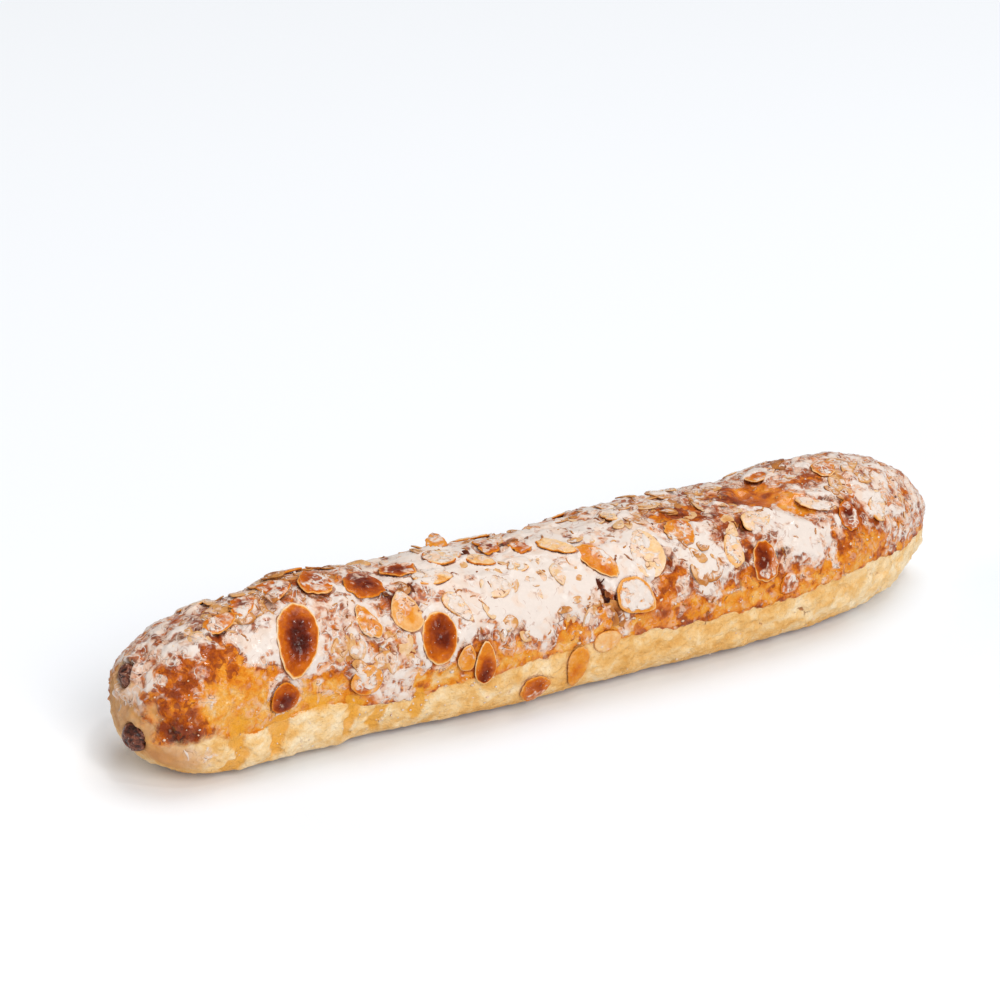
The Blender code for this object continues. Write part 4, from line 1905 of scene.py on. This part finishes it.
@dataclass
class Toppings:
    """Small things scattered over the crust in groups."""

    form: LoafForm
    crust: Crust
    seed: int = 0
    groups: tuple[Scatter, ...] = ()

    def _gather(self) -> Heap:
        """Makes all of every group, in order.

        Returns:
            A heap of them.
        """
        rng = np.random.default_rng(self.seed)
        heap = Heap()
        for group in self.groups:
            for _ in range(group.count):
                self._one(group, rng, heap)
        return heap

    def _one(self, group: Scatter, rng: Chance, heap: Heap) -> None:
        """Makes one of a group, in the way of each kind of topping."""
        raise NotImplementedError


@dataclass
class SunkAlmonds(Toppings):
    """Broken almonds in the icing, of which a rim or a corner shows."""

    seed: int = 21
    clearance: float = 0.30
    bare_below: float = 0.30
    width: Pair = (0.24, 0.36)  # half of it, as shares of the length
    thickness: Pair = (0.5, 0.8)
    most_icing: float = 0.38
    spacing: float = 0.8
    bend: float = 0.9
    groups: tuple[Scatter, ...] = (
        Scatter(-62, 62, 6, 8, 8, (3, 8), (0.50, 0.85), (-0.2, 0.2), 0.7),
        Scatter(-16, 90, 9, 6, 12, (3, 7), (0.45, 0.80), (-0.2, 0.2), 0.6),
        Scatter(-12, 60, 30, 22, 24, (5, 9), (0.10, 0.32), (-0.60, -0.30), 0.25),
        Scatter(-72, 34, 17, 20, 27, (5, 10), (0.14, 0.40), (-0.55, -0.20), 0.30),
        Scatter(-88, 98, 20, 16, 32, (5, 11), (0.25, 0.60), (-0.40, 0.05), 0.35),
        Scatter(-108, 84, 12, 12, 12, (4, 9), (0.25, 0.60), (-0.45, -0.05), 0.35),
        Scatter(38, 84, 22, 14, 26, (4, 10), (0.12, 0.50), (-0.50, -0.10), 0.35),
        Scatter(36, 42, 10, 16, 14, (4, 9), (0.25, 0.55), (-0.60, -0.20), 0.4),
        Scatter(0, 22, 14, 9, 11, (4, 9), (0.20, 0.50), (-0.55, -0.15), 0.35),
        Scatter(-36, 18, 12, 9, 10, (4, 9), (0.16, 0.40), (-0.50, -0.10), 0.35),
        Scatter(64, 60, 9, 9, 8, (4, 9), (0.10, 0.35), (-0.50, -0.10), 0.4),
        Scatter(104, 66, 12, 24, 16, (4, 9), (0.15, 0.40), (-0.45, -0.1), 0.30),
        Scatter(124, 56, 10, 34, 10, (3, 6), (0.20, 0.40), (-0.55, -0.2), 0.2),
        Scatter(-122, 78, 12, 18, 12, (4, 8), (0.20, 0.45), (-0.45, -0.20), 0.25),
        Scatter(0, 118, 115, 12, 44, (4, 10), (0.10, 0.45), (-0.4, 0.0), 0.35),
        Scatter(0, 145, 110, 15, 38, (4, 10), (0.10, 0.45), (-0.4, 0.0), 0.35),
        Scatter(4.5, 28, 1.5, 8, 3, (3, 5), (0.70, 0.90), (-0.2, 0.2), 0.8, -0.2),
        Scatter(-108, 84, 5, 6, 5, (3, 6), (0.50, 0.75), (-0.3, 0.0), 0.3, 0.1),
        Scatter(-88, 106, 8, 6, 7, (4, 7), (0.40, 0.62), (-0.2, 0.1), 0.4, 0.2),
        Scatter(-62, 63, 5, 6, 9, (3, 7), (0.65, 0.90), (-0.1, 0.3), 0.7, -0.2),
        Scatter(-29, 96, 4, 5, 5, (3, 6), (0.70, 0.90), (-0.1, 0.2), 0.5, -0.1),
        Scatter(90, 108, 8, 8, 6, (4, 7), (0.45, 0.70), (-0.2, 0.1), 0.4, 0.1),
        Scatter(-72, 112, 44, 7, 13, (6, 11), (0.24, 0.52), (-0.1, 0.5), 0.8, 0.2),
        Scatter(14, 112, 40, 7, 9, (5, 10), (0.20, 0.45), (-0.3, 0.2), 0.5, 0.3),
    )

    def build(self) -> Piece:
        """Makes the sunk almonds as one piece.

        Returns:
            The piece.
        """
        finish = AlmondFinish("toasted", TOASTED)
        return self._gather().write("sunk_almonds", finish.make(), "almond_pale")

    def _on_bare_almond(self, station: float, angle: float, length: float) -> bool:
        """Whether a flake at a place would hide an almond that lies bare.

        Args:
            station: Station of the flake.
            angle: Angle of the flake.
            length: Its length, in mm.

        Returns:
            True where it would.
        """
        for seat in self.crust.seats:
            run = station - seat.station
            rise = math.radians(angle - seat.angle) * seat.radius
            along = run * math.cos(seat.spin) + rise * math.sin(seat.spin)
            across = rise * math.cos(seat.spin) - run * math.sin(seat.spin)
            room = self.clearance * length
            gap = math.hypot(along / (seat.half_length + room), across / (seat.half_width + room))
            if gap < 1.0 and look_of(seat.name).icing < self.bare_below:
                return True
        return False

    def _one(self, group: Scatter, rng: Chance, heap: Heap) -> None:
        """Makes one almond of a group.

        Args:
            group: The group.
            rng: Where its chances come from.
            heap: The heap that it joins.
        """
        station, angle = group.place(rng)
        length = rng.uniform(*group.size)
        bake = rng.uniform(*group.bake)
        if self._on_bare_almond(station, angle, length):
            return
        height, icing = self.crust.level(station, angle)
        height += rng.uniform(*group.proud)
        seat = AlmondSeat(
            name="sunk",
            station=station,
            angle=angle,
            radius=MEAN_RADIUS,
            spin=rng.uniform(0, 2 * math.pi),
            half_length=length / 2,
            half_width=length * rng.uniform(*self.width),
            height=height,
        )
        icing = icing if group.icing is None else group.icing
        look = Look(
            core=bake + rng.uniform(-0.05, 0.25),
            ring=bake,
            rim=bake + rng.uniform(-0.10, 0.20),
            icing=min(icing + rng.uniform(-0.12, 0.15), self.most_icing),
            blister=0.12,
            curl=rng.uniform(-0.1, 0.3),
            wall=rng.uniform(0.30, 0.60),
            bare_rim=rng.uniform(0.20, 0.50),
        )
        lean = rng.uniform(0, 2 * math.pi)
        flake = Flake(
            seat,
            look,
            thickness=rng.uniform(*self.thickness),
            narrowing=rng.uniform(-0.1, 0.4),
            spacing=self.spacing,
            bend=self.bend,
            tilt=(group.tip * math.cos(lean), group.tip * math.sin(lean)),
            breaks=int(rng.integers(0, 3)),
            seed=int(rng.integers(1, 9999)),
            edge=PLAIN_EDGE,
        )
        flake.build(self.form, heap)


@dataclass
class Slivers(Toppings):
    """Edges of sunk almonds that show as thin brown arcs in the icing."""

    seed: int = 57
    sides: int = 6
    step: float = 0.55
    width: Pair = (0.36, 0.78)
    flatness: float = 0.55
    groups: tuple[Scatter, ...] = (
        Scatter(-15, 58, 34, 34, 26, (1.0, 3.8), (0.40, 0.68), (-0.16, 0.06), icing=0.16),
        Scatter(-76, 40, 20, 28, 34, (1.0, 3.6), (0.40, 0.68), (-0.16, 0.06), icing=0.16),
        Scatter(-100, 82, 22, 20, 30, (1.0, 3.8), (0.40, 0.68), (-0.14, 0.08), icing=0.16),
        Scatter(38, 70, 26, 32, 56, (1.0, 4.4), (0.40, 0.68), (-0.14, 0.10), icing=0.16),
        Scatter(82, 48, 20, 26, 20, (1.0, 3.4), (0.40, 0.68), (-0.14, 0.06), icing=0.16),
        Scatter(118, 56, 18, 34, 30, (0.8, 2.4), (0.40, 0.68), (-0.14, 0.06), icing=0.16),
        Scatter(24, 16, 68, 9, 24, (0.8, 2.8), (0.40, 0.68), (-0.14, 0.06), icing=0.0),
        Scatter(0, 108, 118, 16, 56, (1.0, 3.8), (0.40, 0.68), (-0.14, 0.06), icing=0.16),
        Scatter(0, 142, 118, 18, 40, (1.0, 3.8), (0.40, 0.68), (-0.14, 0.06), icing=0.16),
        Scatter(4.5, 30, 1.0, 7, 5, (1.6, 2.8), (0.78, 0.92), (0.0, 0.3), icing=-1.0),
    )

    def build(self) -> Piece:
        """Makes the arcs as one piece.

        Returns:
            The piece.
        """
        toasted = bpy.data.materials["toasted"]
        return self._gather().write("almond_edges", toasted, "almond_dark")

    def _one(self, group: Scatter, rng: Chance, heap: Heap) -> None:
        """Makes one arc of a group.

        Args:
            group: The group.
            rng: Where its chances come from.
            heap: The heap that it joins.
        """
        form = self.form
        station, angle = group.place(rng)
        length = rng.uniform(*group.size)
        thick = rng.uniform(*self.width)
        proud = rng.uniform(*group.proud)
        bake = rng.uniform(*group.bake)
        rings = max(5, round(length / self.step))
        share = (np.arange(rings) + 0.5) / rings
        swing = length / rng.uniform(2.4, 7.0) * rng.choice((-1.0, 1.0))
        heading = rng.uniform(0, 2 * math.pi) + swing * (share - 0.5)
        heading += 0.4 * np.sin(rng.uniform(0, 6) + share * rng.uniform(3, 9))
        run = np.cumsum(np.cos(heading)) * length / rings
        climb = np.cumsum(np.sin(heading)) * length / rings
        girth = thick * np.sqrt(1 - (2 * share - 1) ** 4) * (1 + 0.3 * np.sin(share * 17 + length * 9))
        spots = [
            form.seat(self.crust.tree, station + x, angle + math.degrees(y / MEAN_RADIUS))
            for x, y in zip(run, climb)
        ]
        middle = np.array([spot for spot, _ in spots])
        lean = np.array([normal for _, normal in spots])
        ahead = np.gradient(middle, axis=0)
        side = np.cross(lean, ahead)
        side /= np.linalg.norm(side, axis=1)[:, None] + 1e-9
        turn = -np.arange(self.sides) * 2 * math.pi / self.sides
        across = side[:, None] * np.cos(turn)[None, :, None] * 0.5
        upward = lean[:, None] * (np.sin(turn)[None, :, None] * self.flatness)
        middle = middle + lean * proud
        rim = middle[:, None] + (across + upward) * girth[:, None, None]
        points = np.concatenate([[middle[0]], rim.reshape(-1, 3), [middle[-1]]])
        tone = bake + 0.06 * np.sin(np.arange(len(points)) * 0.9)
        drawn = {"bake": tone, "icing": np.full(len(points), float(group.icing or 0.0))}
        heap.put(points, pod_faces(rings, self.sides), drawn)


@dataclass
class Crumbs(Toppings):
    """Small crumbs of sugar and dried icing that cling to the crust."""

    seed: int = 83
    rings: int = 4
    sides: int = 7
    flatness: float = 0.7
    lumps: Pair = (0.55, 1.25)
    stretch: Pair = (0.8, 1.7)
    icing: Pair = (0.1, 0.6)
    groups: tuple[Scatter, ...] = (
        Scatter(-100, 0, 24, 30, 14, (0.30, 0.75)),
        Scatter(-60, -18, 24, 14, 36, (0.35, 0.95)),
        Scatter(20, 12, 90, 12, 60, (0.35, 1.10)),
        Scatter(112, 46, 30, 46, 50, (0.35, 0.95)),
        Scatter(0, -26, 130, 14, 44, (0.30, 0.80)),
        Scatter(0, 176, 120, 22, 70, (0.35, 0.95)),
        Scatter(-136, 40, 9, 46, 20, (0.30, 0.80)),
    )

    def build(self) -> Piece:
        """Makes the crumbs as one piece.

        Returns:
            The piece.
        """
        toasted = bpy.data.materials["toasted"]
        return self._gather().write("sugar_crumbs", toasted, "almond_pale")

    def _one(self, group: Scatter, rng: Chance, heap: Heap) -> None:
        """Makes one crumb of a group.

        Args:
            group: The group.
            rng: Where its chances come from.
            heap: The heap that it joins.
        """
        station, angle = group.place(rng)
        size = rng.uniform(*group.size)
        ball = ball_points(self.rings, self.sides)
        ball *= rng.uniform(*self.lumps, (len(ball), 1))
        ball[:, 0] *= rng.uniform(*self.stretch)
        spot, normal = self.form.seat(self.crust.tree, station, angle)
        lean = np.array(Vector((0, 0, 1)).rotation_difference(normal).to_matrix())
        ball[:, 2] *= self.flatness
        points = np.array(spot) + (ball @ lean.T + np.array(normal) * 0.2) * size / 2
        icing = np.full(len(ball), rng.uniform(*self.icing))
        drawn = {"bake": np.zeros(len(ball)), "icing": icing}
        heap.put(points, pod_faces(self.rings, self.sides), drawn)


@dataclass
class Raisins:
    """The two raisins in the near end."""

    nodes: list[Piece]
    icing: tuple[float, ...] = (-0.40, -0.06)
    redness: tuple[float, ...] = (0.10, 0.20)
    rings: int = 55
    sides: int = 72
    swelling: float = 1.02
    lump: float = 0.10
    wrinkle: float = 0.13

    def build(self) -> list[Piece]:
        """Makes the raisins, each as its own piece.

        Returns:
            The pieces.
        """
        return [self._one(node, number) for number, node in enumerate(self.nodes)]

    def _one(self, node: Piece, number: int) -> Piece:
        """Makes one raisin.

        Args:
            node: Its solid.
            number: Its place in the list.

        Returns:
            The raisin.
        """
        solid = node_points(node)
        centre = solid.mean(axis=0)
        _, axes = np.linalg.eigh(np.cov((solid - centre).T))
        sizes = np.array([np.abs((solid - centre) @ axes[:, k]).max() for k in range(3)])
        heap = Heap()
        ball = ball_points(self.rings, self.sides)
        warp = np.stack([Grain(0.9, 40 + number + k).at(ball) for k in range(3)], 1)
        fold = 1 - np.abs(Grain(0.55, 50 + number, 2).at(ball + 0.35 * warp)) * 1.6
        radius = self.swelling + self.lump * Grain(1.1, 60 + number).at(ball)
        radius += self.wrinkle * (fold - 0.7)
        points = centre + (ball * radius[:, None] * sizes) @ axes.T
        heap.put(points, pod_faces(self.rings, self.sides), {"fold": fold})
        finish = RaisinFinish(f"raisin_{number}", self.icing[number], self.redness[number])
        piece = heap.write(f"{node.name}_skin", finish.make(), "raisin")
        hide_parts(node.name)
        return piece


# ---------------------------------------------------------------- studio


@dataclass(frozen=True)
class Lamp:
    """A round soft box that faces the log. Place and size are in metres, power in watts."""

    name: str
    place: tuple[float, float, float]
    size: float
    power: float

    def hang(self) -> None:
        """Hangs it in the scene."""
        light = bpy.data.lights.new(self.name, "AREA")
        light.shape = "DISK"
        light.size = self.size
        light.energy = self.power
        lamp = bpy.data.objects.new(self.name, light)
        lamp.location = self.place
        lamp.rotation_euler = (-Vector(self.place)).to_track_quat("-Z", "Y").to_euler()
        bpy.context.scene.collection.objects.link(lamp)


@dataclass
class Studio:
    """White paper, soft light and the camera, whose aim and distance are in mm."""

    floor_size: float = 6.0
    floor_drop: float = 0.0002
    sky: float = 0.35
    lamps: tuple[Lamp, ...] = (
        Lamp("key", (0.66, 0.29, 3.28), 2.4, 46.0),
        Lamp("fill", (-0.24, -3.12, 2.52), 2.16, 84.0),
        Lamp("spark", (0.12, -1.44, 3.24), 0.38, 12.7),
    )
    aim: tuple[float, float, float] = (26.04, 70.82, 23.0)
    camera_turn: float = 32.755
    camera_rise: float = 24.526
    camera_roll: float = 2.176
    camera_distance: float = 1125.45
    lens: float = 121.03
    sensor: float = 36.0

    def build(self) -> None:
        """Sets up the floor, the lights and the camera."""
        self._floor()
        self._sky()
        for lamp in self.lamps:
            lamp.hang()
        self._camera()
        bpy.context.scene.view_settings.view_transform = "Standard"

    def _floor(self) -> None:
        """Lays the paper."""
        half = self.floor_size / 2
        mesh = bpy.data.meshes.new("paper")
        corners = [(-half, -half, 0), (half, -half, 0), (half, half, 0), (-half, half, 0)]
        mesh.from_pydata(corners, [], [(0, 1, 2, 3)])
        mesh.materials.append(FloorFinish().make())
        floor = bpy.data.objects.new("floor", mesh)
        bpy.context.scene.collection.objects.link(floor)
        floor.location.z = -self.floor_drop

    def _sky(self) -> None:
        """Sets the light that comes from all round."""
        world = bpy.data.worlds.new("studio")
        world.use_nodes = True
        background = world.node_tree.nodes["Background"]
        background.inputs["Color"].default_value = (1, 1, 1, 1)
        background.inputs["Strength"].default_value = self.sky
        bpy.context.scene.world = world

    def _camera(self) -> None:
        """Sets up the camera at the photo's angle."""
        turn = math.radians(self.camera_turn)
        rise = math.radians(self.camera_rise)
        level = math.cos(rise)
        ahead = Vector((math.sin(turn) * level, math.cos(turn) * level, -math.sin(rise)))
        right = ahead.cross(Vector((0, 0, 1))).normalized()
        up = right.cross(ahead)
        roll = math.radians(self.camera_roll)
        tilted = right * math.cos(roll) + up * math.sin(roll)
        up = tilted.cross(ahead)
        data = bpy.data.cameras.new("camera")
        data.lens = self.lens
        data.sensor_width = self.sensor
        data.sensor_fit = "HORIZONTAL"
        camera = bpy.data.objects.new("camera", data)
        place = (Vector(self.aim) - ahead * self.camera_distance) * MM
        facing = Matrix((tilted, up, -ahead)).transposed().to_4x4()
        camera.matrix_world = Matrix.Translation(place) @ facing
        bpy.context.scene.collection.objects.link(camera)
        bpy.context.scene.camera = camera


def main() -> None:
    """Builds the log and its studio."""
    logging.basicConfig(level=logging.INFO, format="%(name)s: %(message)s")
    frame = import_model()
    nodes = frame["nodes"]
    raisin_nodes = [nodes[name] for name in sorted(nodes) if name.startswith("raisin")]
    centres = [node_points(node).mean(axis=0) for node in raisin_nodes]
    form = LoafForm(nodes["loaf"], centres)
    seats = [
        AlmondSeat.from_node(nodes[name], form) for name in sorted(nodes) if name.startswith("almond")
    ]
    crust = Crust(form, seats, centres)
    crust.build()
    Almonds(form, seats).build()
    SunkAlmonds(form, crust).build()
    Slivers(form, crust).build()
    Crumbs(form, crust).build()
    Raisins(raisin_nodes).build()
    Studio().build()


if __name__ == "__main__":
    main()
